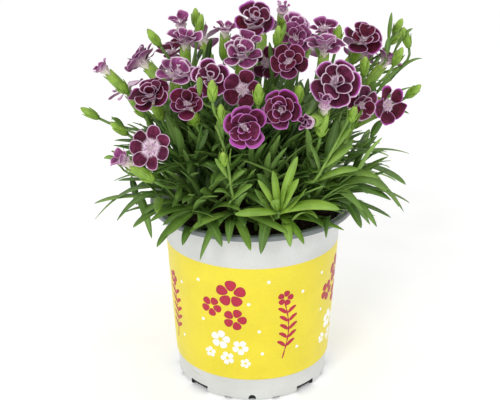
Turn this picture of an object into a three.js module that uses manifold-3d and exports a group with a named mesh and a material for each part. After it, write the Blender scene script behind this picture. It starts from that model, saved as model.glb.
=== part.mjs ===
// A dianthus in its round nursery pot, in millimetres, +Z up.
// The origin is the centre of the flat underside that the pot stands on.
// The front is -Y: an azimuth of 0 faces it and a positive one turns to +X.
import * as THREE from 'three';
import { mergeVertices } from 'three/addons/utils/BufferGeometryUtils.js';
import Module from 'manifold-3d';

const wasm = await Module();
wasm.setup();

// ---------------------------------------------------------------- pot and soil
const POT = {
  height: 112,
  lipRadius: 60,
  lipHeight: 3.2,
  wallTop: 104.5,
  wallTopRadius: 52,
  bandBottom: 15.3,
  bandBottomRadius: 46.6,
  bandProud: 1,
  footRadius: 42.6,
  floor: 1.8,
  wall: 1.3,
  innerFoot: 9,
  sides: 28,
};
// Four drainage recesses lead out under the foot, each with a hole at its inner end.
const DRAIN = {
  azimuths: [45, 135, 225, 315], width: 15, height: 5.5, inner: 34, depth: 1, hole: 3.2, holeAt: 37.5,
};
// Small air slots in the foot between the recesses, three to a quarter.
const SLOT = { spread: 18.5, width: 3.4, height: 2.6, inner: 42 };
// Between touching pieces.
const GAP = 0.3;
const SOIL = { level: 101.5, mound: 3.5, relief: 1.1, rings: 2, sides: 18, holeBottom: 91, hole: 1.9 };

// ---------------------------------------------------------------- plant sizes
const STEM = { radius: 1, twig: 0.85, mainSteps: 4, twigSteps: 2, sides: 4, bend: 0.36 };
const CALYX = { length: 15, belly: 3.1, bellyAt: 0.5, mouth: 2.9, bore: 2.45, boreDepth: 8 };
// The calyx mouth lies this far under the plane of the petals.
const CLAW = 3.6;
// The throat is a cone from the ring where the petals start to a point in the calyx.
const THROAT = { top: -0.8, radius: 2, tip: -9.5, centre: 0.5 };
const PETAL = {
  start: 1.6, notch: 0.22, broad: 0.6, shoulder: 0.9, thick: 1.3, ratio: 0.97,
  twist: 13, cup: 0.08, open: 22, bend: 34, samplesFrom: 3,
};
// Inner petals stand between the outer ones round a second, smaller ring.
const INNER = {
  reach: 0.64, raise: 28, thick: 0.9, start: 1, base: 1, ring: 1.7, ringHeight: 0.7, notch: 0.25,
  broad: 0.6, shoulder: 0.9, ratio: 0.8, bend: 44, centre: 1.2,
};
const BUD = { length: 12, radius: 2.3 };
const LEAF = {
  wide: 0.3, bendAt: 0.7, shortWide: 0.42, keel: 0.2, leastKeel: 0.8, root: 0.3, long: 36, crowded: 7,
};

// Blooms: place of the petals' centre, azimuth and elevation that the face looks to,
// width, number of outer and inner petals, and the lift of the petals above the flat.
const BLOOMS = [
  { x: -83, y: -2, z: 189, az: -95, el: 46, width: 14, outer: 5, inner: 0, lift: 34 },
  { x: -60, y: -8, z: 194, az: -115, el: 42, width: 23, outer: 5, inner: 5, lift: 14 },
  { x: -46, y: 12, z: 195, az: -30, el: 74, width: 22, outer: 5, inner: 0, lift: 12 },
  { x: -40, y: -36, z: 195, az: 25, el: 60, width: 25, outer: 5, inner: 5, lift: 12 },
  { x: -37, y: -8, z: 206, az: 5, el: 84, width: 24, outer: 5, inner: 5, lift: 12 },
  { x: -41, y: 14, z: 211, az: -20, el: 75, width: 17, outer: 5, inner: 0, lift: 40 },
  { x: -53, y: -46, z: 186, az: -20, el: 54, width: 25, outer: 5, inner: 5, lift: 8 },
  { x: -33, y: -60, z: 186, az: -14, el: 48, width: 21, outer: 5, inner: 5, lift: 8 },
  { x: -22, y: -50, z: 197, az: 0, el: 42, width: 24, outer: 5, inner: 5, lift: 10 },
  { x: -15, y: 0, z: 211, az: 15, el: 78, width: 15, outer: 5, inner: 0, lift: 22 },
  { x: -6, y: -34, z: 205, az: 5, el: 62, width: 24, outer: 5, inner: 5, lift: 12 },
  { x: -4, y: -12, z: 206, az: -20, el: 82, width: 22, outer: 5, inner: 0, lift: 12 },
  { x: 1, y: 0, z: 217, az: 5, el: 44, width: 24, outer: 5, inner: 5, lift: 10 },
  { x: -5, y: -50, z: 192, az: 0, el: 8, width: 21, outer: 5, inner: 0, lift: 8 },
  { x: -4, y: -72, z: 179, az: 2, el: 8, width: 25, outer: 5, inner: 5, lift: 8 },
  { x: 17, y: 18, z: 218, az: 0, el: 60, width: 12, outer: 5, inner: 0, lift: 62 },
  { x: 23, y: 2, z: 212, az: 30, el: 44, width: 20, outer: 5, inner: 5, lift: 14 },
  { x: 23, y: -10, z: 208, az: 12, el: 36, width: 21, outer: 5, inner: 5, lift: 10 },
  { x: 19, y: -44, z: 205, az: -4, el: 24, width: 21, outer: 5, inner: 5, lift: 8 },
  { x: 8, y: -6, z: 194, az: 0, el: 30, width: 20, outer: 5, inner: 0, lift: 12 },
  { x: 41, y: 22, z: 206, az: 12, el: 68, width: 19, outer: 5, inner: 0, lift: 12 },
  { x: 38, y: -27, z: 207, az: 30, el: 84, width: 25, outer: 5, inner: 5, lift: 12 },
  { x: 62, y: 10, z: 202, az: 25, el: 54, width: 25, outer: 5, inner: 5, lift: 10 },
  { x: 76, y: 8, z: 191, az: 118, el: 46, width: 23, outer: 5, inner: 5, lift: 12 },
  { x: 43, y: -46, z: 194, az: 5, el: 34, width: 28, outer: 5, inner: 5, lift: 6 },
  { x: 57, y: -40, z: 181, az: 25, el: -4, width: 22, outer: 5, inner: 5, lift: 8 },
  { x: 73, y: -30, z: 177, az: 30, el: 4, width: 24, outer: 5, inner: 0, lift: 8 },
  { x: 15, y: -66, z: 186, az: -18, el: 12, width: 23, outer: 5, inner: 5, lift: 8 },
  { x: 28, y: -78, z: 183, az: -22, el: 12, width: 14, outer: 5, inner: 0, lift: 64 },
  { x: 37, y: -62, z: 186, az: 15, el: 72, width: 14, outer: 5, inner: 0, lift: 60 },
  { x: -52, y: -68, z: 166, az: -14, el: 18, width: 25, outer: 7, inner: 0, lift: 10 },
  { x: -66, y: -62, z: 156, az: -78, el: 40, width: 17, outer: 5, inner: 0, lift: 48 },
  { x: -64, y: 36, z: 184, az: -125, el: 38, width: 23, outer: 5, inner: 5, lift: 10 },
  { x: -30, y: 58, z: 190, az: -160, el: 40, width: 25, outer: 5, inner: 0, lift: 10 },
  { x: 6, y: 52, z: 198, az: 175, el: 48, width: 24, outer: 5, inner: 5, lift: 12 },
  { x: 34, y: 62, z: 186, az: 160, el: 30, width: 26, outer: 5, inner: 0, lift: 8 },
  { x: 62, y: 44, z: 186, az: 128, el: 40, width: 24, outer: 5, inner: 5, lift: 10 },
  { x: 2, y: 74, z: 176, az: -176, el: 18, width: 24, outer: 5, inner: 5, lift: 8 },
  { x: -50, y: 62, z: 170, az: -140, el: 16, width: 23, outer: 5, inner: 0, lift: 8 },
];

// Leafy shoots: the hole in the soil, the blooms they carry (numbered from 1 in the list
// above, the first on the main stem), buds by tip and direction, and the crowns of
// leafy side tufts.
const SHOOTS = [
  { root: [-26, -26], blooms: [31, 32], buds: [], tufts: [[-52, -42, 128], [-32, -48, 122]] },
  { root: [-33, -4], blooms: [2, 1], buds: [[-98, 0, 166, -95, 30]], tufts: [[-60, -12, 132]] },
  { root: [-24, -15], blooms: [7, 4], buds: [[-78, -26, 166, -80, 40]], tufts: [[-40, -30, 128]] },
  { root: [-22, 4], blooms: [5, 3], buds: [[-57, -14, 215, -70, 55]], tufts: [] },
  { root: [-13, -24], blooms: [9, 8], buds: [[-16, -70, 190, -10, 75]], tufts: [[-9, -50, 122]] },
  { root: [-30, 16], blooms: [33, 6], buds: [[-33, 26, 218, 0, 78]], tufts: [[-54, 30, 126]] },
  { root: [-10, -8], blooms: [11, 14], buds: [], tufts: [] },
  { root: [-8, 9], blooms: [12, 10], buds: [], tufts: [] },
  { root: [2, -30], blooms: [15, 28], buds: [[-15, -66, 163, 0, 60]], tufts: [[14, -48, 120]] },
  { root: [6, -3], blooms: [13, 20], buds: [[1, 14, 224, 0, 82]], tufts: [] },
  { root: [12, -16], blooms: [19, 18], buds: [[3, -64, 199, 0, 70]], tufts: [[22, -38, 124]] },
  { root: [11, 12], blooms: [17, 16], buds: [[15, 6, 207, -10, 75]], tufts: [] },
  { root: [20, -27], blooms: [25, 30, 29], buds: [[24, -60, 197, 0, 65]], tufts: [[38, -44, 124]] },
  { root: [22, 2], blooms: [22, 21], buds: [[48, 10, 211, 20, 75]], tufts: [] },
  { root: [30, -16], blooms: [26, 27], buds: [[53, -50, 183, 15, 60]], tufts: [[58, -28, 130]] },
  {
    root: [33, 4], blooms: [23, 24], buds: [[86, 24, 212, 40, 60], [94, -8, 182, 60, 45]],
    tufts: [[64, 8, 130]],
  },
  { root: [26, 22], blooms: [37, 36], buds: [[88, 30, 205, 70, 55]], tufts: [[52, 44, 126]] },
  { root: [6, 30], blooms: [35, 38], buds: [[20, 60, 208, 180, 70]], tufts: [[6, 66, 122]] },
  { root: [-16, 28], blooms: [34, 39], buds: [[-44, 46, 204, -150, 65]], tufts: [[-36, 56, 124]] },
];

// Leaves of each kind of stem: pairs between two shares of its length, longest and
// shortest leaf, width, angle from the stem, how far the leaf bends down and the least
// angle above the level that it leaves at.
const FOLIAGE = {
  main: { pairs: 6, from: 0.13, to: 0.7, long: 54, short: 32, width: 5.2, angle: 34, bend: 28, least: 12 },
  twig: { pairs: 1, from: 0.45, to: 0.5, long: 28, short: 22, width: 4, angle: 24, bend: 14, least: 0 },
  tuft: { pairs: 3, from: 0.4, to: 0.94, long: 44, short: 34, width: 5.4, angle: 46, bend: 32, least: 6 },
};
// Side stems leave the main stem from these shares of its path on.
const BRANCH = {
  twigFrom: 0.44, twigStep: 0.12, tuftFrom: 0.22, tuftStep: 0.07, tuftLeast: 0.21, tuftRise: 0.7,
};
// Stems and leaves are drawn again, a little further off each time, until they are clear.
const STEM_TRIES = 60;
const STEM_SWING = { grow: 0.02, start: 0.4, bend: 0.2 };
const LEAF_TRIES = 30;
// A bloom or a bud moves back or forward on a slope until it is clear of those before it.
const SLOPE = new THREE.Vector3(0, 0.96, -0.28);
const SLIDES = [0, 2, -2, 4, -4, 6, -6, 8, -8, 10, -10, 12, -12, 14, -14, 16, -16, 18, 20, 22];
// Room is kept in cells of this size, from samples this far apart.
const CELL = 1.3;
const SPACING = 1.2;
// Leaves pass this far over the rim and the soil, and hang no lower than this outside.
const CLEAR = { rim: 1.5, inside: 4.8, soil: 2, hang: 16 };

// ---------------------------------------------------------------- numbers
const rad = THREE.MathUtils.degToRad;

function randomFrom(seed) {
  let state = seed >>> 0;
  return () => {
    state = (Math.imul(state, 1664525) + 1013904223) >>> 0;
    return state / 4294967296;
  };
}

function spread(random, amount) {
  return (random() * 2 - 1) * amount;
}

function vector(x, y, z) {
  return new THREE.Vector3(x, y, z);
}

// A point moved by amounts along directions.
function moved(point, ...steps) {
  const place = point.clone();
  steps.forEach(([direction, amount]) => place.addScaledVector(direction, amount));
  return place;
}

function facing(azimuth, elevation) {
  const level = Math.cos(rad(elevation));
  return vector(Math.sin(rad(azimuth)) * level, -Math.cos(rad(azimuth)) * level, Math.sin(rad(elevation)));
}

// Two directions across an axis, the first level.
function acrossOf(axis) {
  const side = vector(-axis.y, axis.x, 0);
  if (side.length() < 1e-6) side.set(1, 0, 0);
  side.normalize();
  return [side, vector(0, 0, 0).crossVectors(axis, side)];
}

// A point on an arc that leaves at an angle to the level and bends down evenly.
function arc(length, lift, bend, s) {
  const start = rad(lift);
  const turn = rad(bend);
  const slope = start - turn * s;
  return {
    out: length / turn * (Math.sin(start) - Math.sin(slope)),
    rise: length / turn * (Math.cos(slope) - Math.cos(start)),
    slope,
  };
}

// ---------------------------------------------------------------- solids
function solidOf(geometry) {
  geometry.deleteAttribute('normal');
  geometry.deleteAttribute('uv');
  const merged = mergeVertices(geometry, 1e-3);
  const index = Array.from(merged.index.array);
  const corners = [];
  for (let i = 0; i < index.length; i += 3) {
    const [a, b, c] = index.slice(i, i + 3);
    if (a !== b && b !== c && a !== c) corners.push(a, b, c);
  }
  return new wasm.Manifold(new wasm.Mesh({
    numProp: 3,
    vertProperties: new Float32Array(merged.getAttribute('position').array),
    triVerts: new Uint32Array(corners),
  }));
}

function solidOfFaces(points, faces) {
  const geometry = new THREE.BufferGeometry();
  const place = faces.flat().flatMap((corner) => points[corner].toArray());
  geometry.setAttribute('position', new THREE.Float32BufferAttribute(place, 3));
  geometry.setIndex(faces.flat().map((_, i) => i));
  return solidOf(geometry);
}

// A turned body about +Z; the profile starts and ends on the axis, from the bottom up.
function latheOf(profile, sides) {
  const points = profile.map(([radius, height]) => new THREE.Vector2(radius, height));
  return new THREE.LatheGeometry(points, sides).rotateX(Math.PI / 2);
}

// A tube through rings of a radius each; a last ring of no radius is a pointed tip.
function tubeSolid(rings) {
  const points = [];
  const faces = [];
  const sides = STEM.sides;
  let side = acrossOf(rings[0].axis)[0];
  rings.forEach(({ at, axis, radius }) => {
    side = moved(side, [axis, -side.dot(axis)]).normalize();
    const up = vector(0, 0, 0).crossVectors(axis, side);
    if (radius === 0) {
      points.push(at);
      return;
    }
    for (let j = 0; j < sides; j++) {
      const turn = j / sides * Math.PI * 2;
      points.push(moved(at, [side, Math.cos(turn) * radius], [up, Math.sin(turn) * radius]));
    }
  });
  const pointed = rings[rings.length - 1].radius === 0;
  const whole = pointed ? rings.length - 1 : rings.length;
  for (let i = 0; i < whole - 1; i++) {
    for (let j = 0; j < sides; j++) {
      const [a, b] = [i * sides + j, i * sides + (j + 1) % sides];
      faces.push([a, b, b + sides], [a, b + sides, a + sides]);
    }
  }
  const last = (whole - 1) * sides;
  for (let j = 1; j < sides - 1; j++) faces.push([0, j + 1, j]);
  for (let j = 1; j < sides - 1 && !pointed; j++) faces.push([last, last + j, last + j + 1]);
  for (let j = 0; j < sides && pointed; j++) faces.push([last + j, last + (j + 1) % sides, last + sides]);
  return solidOfFaces(points, faces);
}

function meshOf(name, solid, material) {
  const made = solid.getMesh();
  const geometry = new THREE.BufferGeometry();
  geometry.setAttribute('position', new THREE.BufferAttribute(made.vertProperties, 3));
  geometry.setIndex(new THREE.BufferAttribute(made.triVerts, 1));
  geometry.computeVertexNormals();
  const mesh = new THREE.Mesh(geometry, material);
  mesh.name = name;
  return mesh;
}

// ---------------------------------------------------------------- room between nodes
// Each cell remembers the one node that may use it; a cell near two is closed to all.
const room = new Map();
const ownerOfBloom = (number) => 100 + number;
const ownerOfLeaves = (number) => 200 + number;
const SHARED = -1;

function cellOf(point) {
  return [point.x, point.y, point.z].map((value) => Math.floor(value / CELL) + 512);
}

function cellKey(x, y, z) {
  return x * 1048576 + y * 1024 + z;
}

function isFree(points, ...owners) {
  return points.every((point) => {
    const holder = room.get(cellKey(...cellOf(point)));
    return holder === undefined || owners.includes(holder);
  });
}

function take(points, owner) {
  for (const point of points) {
    const [x, y, z] = cellOf(point);
    for (let i = -1; i <= 1; i++) {
      for (let j = -1; j <= 1; j++) {
        for (let k = -1; k <= 1; k++) {
          const key = cellKey(x + i, y + j, z + k);
          const holder = room.get(key);
          if (holder === undefined) room.set(key, owner);
          else if (holder !== owner) room.set(key, SHARED);
        }
      }
    }
  }
}

// Clear of the soil, of the pot's rim from above and of its wall outside.
function isAbovePot(points) {
  return points.every((point) => {
    const radius = Math.hypot(point.x, point.y);
    if (radius > POT.lipRadius + CLEAR.rim) return point.z > POT.height - CLEAR.hang;
    if (radius > POT.wallTopRadius - CLEAR.inside) return point.z > POT.height + CLEAR.rim;
    return point.z > SOIL.level + SOIL.mound + CLEAR.soil;
  });
}

// Points along a round rod, four to a ring.
function rodSamples(from, to, radius) {
  const [side, up] = acrossOf(to.clone().sub(from).normalize());
  const count = Math.max(1, Math.ceil(from.distanceTo(to) / SPACING));
  const samples = [];
  for (let i = 0; i <= count; i++) {
    const middle = from.clone().lerp(to, i / count);
    for (const [a, b] of [[1, 0], [0, 1], [-1, 0], [0, -1]]) {
      samples.push(moved(middle, [side, a * radius], [up, b * radius]));
    }
  }
  return samples;
}

// ---------------------------------------------------------------- petals
function bloomFrame(bloom, slide = 0) {
  const axis = facing(bloom.az, bloom.el);
  const [side, up] = acrossOf(axis);
  return { place: moved(vector(bloom.x, bloom.y, bloom.z), [SLOPE, slide]), axis, side, up };
}

function petalsOf(bloom, number) {
  const random = randomFrom(7919 * (number + 1));
  const turn = random() * 360;
  const step = 360 / bloom.outer;
  const reach = bloom.width / 2 - PETAL.start;
  const outer = [];
  const inner = [];
  for (let i = 0; i < bloom.outer; i++) {
    outer.push({
      ...PETAL,
      base: 0,
      angle: turn + step * i + spread(random, 4),
      length: reach * (1 + spread(random, 0.05)) / Math.cos(rad(bloom.lift * 0.7)),
      ratio: PETAL.ratio * Math.cos(rad(bloom.lift)) * 5 / bloom.outer,
      lift: bloom.lift + PETAL.open + spread(random, 5),
      bend: PETAL.bend + spread(random, 8),
    });
  }
  for (let i = 0; i < bloom.inner; i++) {
    inner.push({
      ...PETAL,
      ...INNER,
      angle: turn + step * (i - 0.5) + spread(random, 6),
      length: reach * INNER.reach * (1 + spread(random, 0.07)),
      lift: bloom.lift + PETAL.open + INNER.raise + spread(random, 5),
      bend: INNER.bend + spread(random, 6),
    });
  }
  return { outer, inner };
}

function petalHalfWidth(petal, s) {
  const rise = Math.min(1, s / petal.broad);
  const fall = Math.max(0, (s - petal.broad) / (1 - petal.broad));
  const swell = Math.sin(rise * Math.PI / 2) ** 1.2;
  return petal.length * petal.ratio / 2 * swell * Math.sqrt(1 - Math.min(1, fall ** 2.6));
}

// A point of a petal: s runs from the throat to the tip, b from edge to edge.
function petalPoint(frame, petal, s, b, lifted = 0) {
  const { out, rise, slope } = arc(petal.length, petal.lift, petal.bend, s);
  const turn = rad(petal.angle);
  const twist = rad(petal.twist);
  const origin = vector(0, 0, 0);
  const radial = moved(origin, [frame.side, Math.cos(turn)], [frame.up, Math.sin(turn)]);
  const along = moved(origin, [frame.side, -Math.sin(turn)], [frame.up, Math.cos(turn)]);
  const normal = moved(origin, [frame.axis, Math.cos(slope)], [radial, -Math.sin(slope)]);
  const reach = b * petalHalfWidth(petal, s);
  return moved(
    frame.place, [radial, petal.start + out], [frame.axis, rise + petal.base],
    [along, reach * Math.cos(twist)],
    [normal, reach * Math.sin(twist) + b * reach * petal.cup + lifted]);
}

// A point of the ring where petals start, at a petal's angle.
function ringPoint(frame, angle, radius, height) {
  const turn = rad(angle);
  return moved(
    frame.place, [frame.side, Math.cos(turn) * radius], [frame.up, Math.sin(turn) * radius],
    [frame.axis, height]);
}

// The edge of one petal, from the notch before it to its last side; the front and the back
// of the petal are fans round its thick middle.
function petalEdge(frame, petal, before) {
  const at = (s, b, lifted) => petalPoint(frame, petal, s, b, lifted);
  return {
    notch: petalPoint(frame, before, petal.notch, 1).lerp(at(petal.notch, -1), 0.5),
    sides: [at(petal.broad, -1), at(petal.shoulder, -1), at(petal.shoulder, 1), at(petal.broad, 1)],
    front: at(petal.broad, 0, petal.thick / 2),
    back: at(petal.broad, 0, -petal.thick / 2),
  };
}

// The corolla is one closed sheet: outer petals, a throat under them, and where there are
// inner petals a second ring that rises from the first.
function corollaSolid(frame, { outer, inner }) {
  const points = [];
  const faces = [];
  const add = (point) => points.push(point) - 1;
  const fan = (middle, loop, turned) => loop.forEach((corner, i) => {
    const next = loop[(i + 1) % loop.length];
    faces.push(turned ? [middle, next, corner] : [middle, corner, next]);
  });
  const count = outer.length;
  const after = (i) => (i + 1) % count;
  const before = (i) => (i + count - 1) % count;
  const edgesOf = (petals) => petals.map((petal, i) => {
    const edge = petalEdge(frame, petal, petals[before(i)]);
    return {
      notch: add(edge.notch), sides: edge.sides.map(add), front: add(edge.front), back: add(edge.back),
    };
  });
  const tip = add(moved(frame.place, [frame.axis, THROAT.tip]));
  const double = inner.length > 0;
  const centre = add(moved(frame.place, [frame.axis, double ? INNER.centre : THROAT.centre]));
  const throat = outer.map(({ angle }, i) => {
    const middle = angle - 180 / count;
    return add(ringPoint(frame, middle, THROAT.radius, THROAT.top));
  });
  const ring = outer.map(({ angle }) => double && add(ringPoint(frame, angle, INNER.ring, INNER.ringHeight)));
  const edges = edgesOf(outer);
  edges.forEach((edge, i) => {
    const loop = [edge.notch, ...edge.sides, edges[after(i)].notch];
    fan(edge.front, [...loop, double ? ring[i] : centre], false);
    fan(edge.back, [...loop, throat[after(i)], throat[i]], true);
    faces.push([throat[after(i)], throat[i], tip]);
    if (double) faces.push([ring[before(i)], edge.notch, ring[i]]);
  });
  if (double) {
    const rim = edgesOf(inner);
    rim.forEach((edge, i) => {
      const loop = [edge.notch, ...edge.sides, rim[after(i)].notch];
      fan(edge.front, [...loop, centre], false);
      fan(edge.back, [...loop, ring[i], ring[before(i)]], true);
    });
  }
  return solidOfFaces(points, faces);
}

function petalSamples(frame, petal) {
  const samples = [];
  const rows = Math.ceil(petal.length / SPACING);
  for (let i = PETAL.samplesFrom; i <= rows; i++) {
    const s = i / rows;
    const columns = Math.max(1, Math.ceil(petalHalfWidth(petal, s) / SPACING));
    for (let j = -columns; j <= columns; j++) samples.push(petalPoint(frame, petal, s, j / columns));
  }
  return samples;
}

function bloomSamples(frame, bloom, number) {
  const { outer, inner } = petalsOf(bloom, number);
  return [...outer, ...inner].flatMap((petal) => petalSamples(frame, petal));
}

// ---------------------------------------------------------------- stems, calyxes, buds
function calyxFoot(frame) {
  return moved(frame.place, [frame.axis, -CLAW - CALYX.length]);
}

// The calyx swells out of its stem and has a bore that the bloom's throat stands in.
function calyxRings(frame) {
  const foot = calyxFoot(frame);
  const ring = (height, radius) => ({ at: moved(foot, [frame.axis, height]), axis: frame.axis, radius });
  return [
    ring(0, STEM.twig),
    ring(CALYX.length * CALYX.bellyAt, CALYX.belly),
    ring(CALYX.length, CALYX.mouth),
    ring(CALYX.length, CALYX.bore),
    ring(CALYX.length - CALYX.boreDepth, 0),
  ];
}

function calyxSamples(frame) {
  const foot = calyxFoot(frame);
  return rodSamples(foot, moved(foot, [frame.axis, CALYX.length - 2]), CALYX.belly);
}

function budFrame([x, y, z, azimuth, elevation], slide = 0) {
  const axis = facing(azimuth, elevation);
  const tip = moved(vector(x, y, z), [SLOPE, slide]);
  return { tip, axis, foot: moved(tip, [axis, -BUD.length]) };
}

function budRings(bud) {
  const ring = (share, radius) => (
    { at: moved(bud.foot, [bud.axis, BUD.length * share]), axis: bud.axis, radius });
  return [
    ring(0, STEM.twig), ring(0.2, BUD.radius * 0.9), ring(0.6, BUD.radius * 0.9), ring(1, 0),
  ];
}

// A stem's path leaves along one direction and arrives along another.
function bentPath(from, leave, to, arrive, steps, bend) {
  const reach = from.distanceTo(to) * bend;
  return new THREE.CubicBezierCurve3(
    from, moved(from, [leave, reach]), moved(to, [arrive, -reach]), to).getPoints(steps);
}

function pathSamples(path, radius) {
  return path.slice(1).flatMap((point, i) => rodSamples(path[i], point, radius));
}

// The place and direction at a share of a path's steps.
function onPath(path, share) {
  const step = Math.min(path.length - 2, Math.floor(share * (path.length - 1)));
  const part = share * (path.length - 1) - step;
  return {
    at: path[step].clone().lerp(path[step + 1], part),
    along: path[step + 1].clone().sub(path[step]).normalize(),
  };
}

// Draws a stem again, from further along and with a wider swing each time, until it is
// clear of other nodes.
function clearPath(owner, random, from, leave, end, steps, radius) {
  let path = null;
  for (let i = 0; i < STEM_TRIES; i++) {
    const swing = i * STEM_SWING.grow;
    const start = from(spread(random, swing * STEM_SWING.start));
    const swayed = [[vector(1, 0, 0), spread(random, swing)], [vector(0, 1, 0), spread(random, swing)]];
    const away = moved(leave(start), ...swayed).normalize();
    const bend = STEM.bend + spread(random, swing * STEM_SWING.bend);
    path = bentPath(start.at, away, end.foot, end.axis, steps, bend);
    if (isFree(pathSamples(path, radius), owner)) break;
  }
  take(pathSamples(path, radius), owner);
  return path;
}

// The stems of a shoot: the main one up to its first bloom, a twig to each further bloom
// and bud, and a low stem to each leafy tuft.
function stemsOf(shoot, owner) {
  const random = randomFrom(104729 * (owner + 1));
  const up = vector(0, 0, 1);
  const hole = vector(shoot.root[0], shoot.root[1], SOIL.holeBottom + GAP);
  const neck = vector(shoot.root[0], shoot.root[1], SOIL.level + SOIL.mound + 1);
  const [first, ...others] = shoot.blooms.map((number) => {
    const frame = frameOfBloom[number - 1];
    return { foot: calyxFoot(frame), axis: frame.axis, rings: calyxRings(frame) };
  });
  const buds = budsOf[owner].map((bud) => ({ ...bud, rings: budRings(bud) }));
  const main = [hole, ...clearPath(
    owner, random, () => ({ at: neck }), () => up.clone(), first, STEM.mainSteps, STEM.radius)];
  const stems = [{ path: main, kind: 'main', radius: STEM.radius, end: first.rings }];
  [...others, ...buds].forEach((end, i) => {
    const from = (shift) => onPath(main, BRANCH.twigFrom + i * BRANCH.twigStep + shift);
    const leave = ({ at, along }) => moved(along, [end.foot.clone().sub(at).normalize(), 1]);
    const path = clearPath(owner, random, from, leave, end, STEM.twigSteps, STEM.twig);
    stems.push({ path, kind: 'twig', radius: STEM.twig, end: end.rings });
  });
  shoot.tufts.forEach(([x, y, z], i) => {
    const foot = vector(x, y, z);
    const share = BRANCH.tuftFrom + i * BRANCH.tuftStep;
    const from = (shift) => onPath(main, Math.max(BRANCH.tuftLeast, share + shift));
    const axis = foot.clone().sub(from(0).at).normalize();
    const leave = () => moved(axis, [up, BRANCH.tuftRise]);
    const path = clearPath(owner, random, from, leave, { foot, axis }, STEM.twigSteps, STEM.twig);
    stems.push({ path, kind: 'tuft', radius: STEM.twig, end: [{ at: foot, axis, radius: STEM.twig * 0.6 }] });
  });
  return stems;
}

function stemSolid(stem) {
  const rings = stem.path.slice(0, -1).map((at, i) => {
    const before = stem.path[Math.max(0, i - 1)];
    const axis = stem.path[i + 1].clone().sub(before).normalize();
    return { at, axis, radius: stem.radius };
  });
  return tubeSolid([...rings, ...stem.end]);
}

// ---------------------------------------------------------------- leaves
function leafHalfWidth(leaf, s) {
  const rise = Math.min(1, s / LEAF.wide);
  const fall = Math.max(0, (s - LEAF.wide) / (1 - LEAF.wide));
  return leaf.width / 2 * (LEAF.root + (1 - LEAF.root) * Math.sin(rise * Math.PI / 2)) * (1 - fall ** 2.2);
}

// A point of a leaf: s runs from foot to tip, b from edge to edge.
function leafPoint(leaf, s, b, lifted = 0) {
  const { out, rise, slope } = arc(leaf.length, leaf.lift, leaf.bend, s);
  const ahead = vector(Math.cos(leaf.azimuth), Math.sin(leaf.azimuth), 0);
  const side = vector(-Math.sin(leaf.azimuth), Math.cos(leaf.azimuth), 0);
  const up = vector(0, 0, 1);
  return moved(
    leaf.foot, [ahead, out - lifted * Math.sin(slope)], [up, rise + lifted * Math.cos(slope)],
    [side, b * leafHalfWidth(leaf, s) + leaf.sway * leaf.length * s * s]);
}

function leafStations(leaf) {
  return leaf.length > LEAF.long ? [0, LEAF.wide, LEAF.bendAt, 1] : [0, LEAF.shortWide, 1];
}

// A flat face over a keel, drawn to a point in the stem and at the tip.
function leafSolid(leaf) {
  const stations = leafStations(leaf).slice(1, -1);
  const points = stations.flatMap((s) => {
    const keel = Math.max(LEAF.leastKeel, leafHalfWidth(leaf, s) * 2 * LEAF.keel);
    return [leafPoint(leaf, s, -1), leafPoint(leaf, s, 1), leafPoint(leaf, s, 0, -keel)];
  });
  const foot = points.push(leaf.foot) - 1;
  const tip = points.push(leafPoint(leaf, 1, 0)) - 1;
  const last = (stations.length - 1) * 3;
  const faces = [];
  for (let j = 0; j < 3; j++) {
    const next = (j + 1) % 3;
    faces.push([j, next, foot], [last + next, last + j, tip]);
    if (last > 0) faces.push([j, next + 3, next], [j, j + 3, next + 3]);
  }
  return solidOfFaces(points, faces);
}

// Points spread over the flat faces between the stations, past the root.
function leafSamples(leaf) {
  const stations = leafStations(leaf);
  const samples = [];
  for (let i = 0; i < stations.length - 1; i++) {
    const [s0, s1] = [stations[i], stations[i + 1]];
    const count = Math.ceil(leaf.length * (s1 - s0) / SPACING);
    for (const b of [-1, -0.5, 0, 0.5, 1]) {
      const from = leafPoint(leaf, s0, i === 0 ? 0 : b);
      const to = leafPoint(leaf, s1, s1 === 1 ? 0 : b);
      for (let k = 0; k <= count; k++) samples.push(from.clone().lerp(to, k / count));
    }
  }
  return samples;
}

// Opposite pairs, each turned a quarter from the last.
function leavesOf(stem, owner, random) {
  const plan = FOLIAGE[stem.kind];
  const leaves = [];
  const turn = random() * 180;
  for (let pair = 0; pair < plan.pairs; pair++) {
    const share = plan.from + (plan.to - plan.from) * pair / Math.max(1, plan.pairs - 1);
    for (let half = 0; half < 2; half++) {
      const angle = turn + pair * 90 + half * 180;
      const leaf = clearLeaf(owner, random, plan, onPath(stem.path, share), angle, share);
      if (leaf) leaves.push(leaf);
    }
  }
  return leaves;
}

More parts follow.
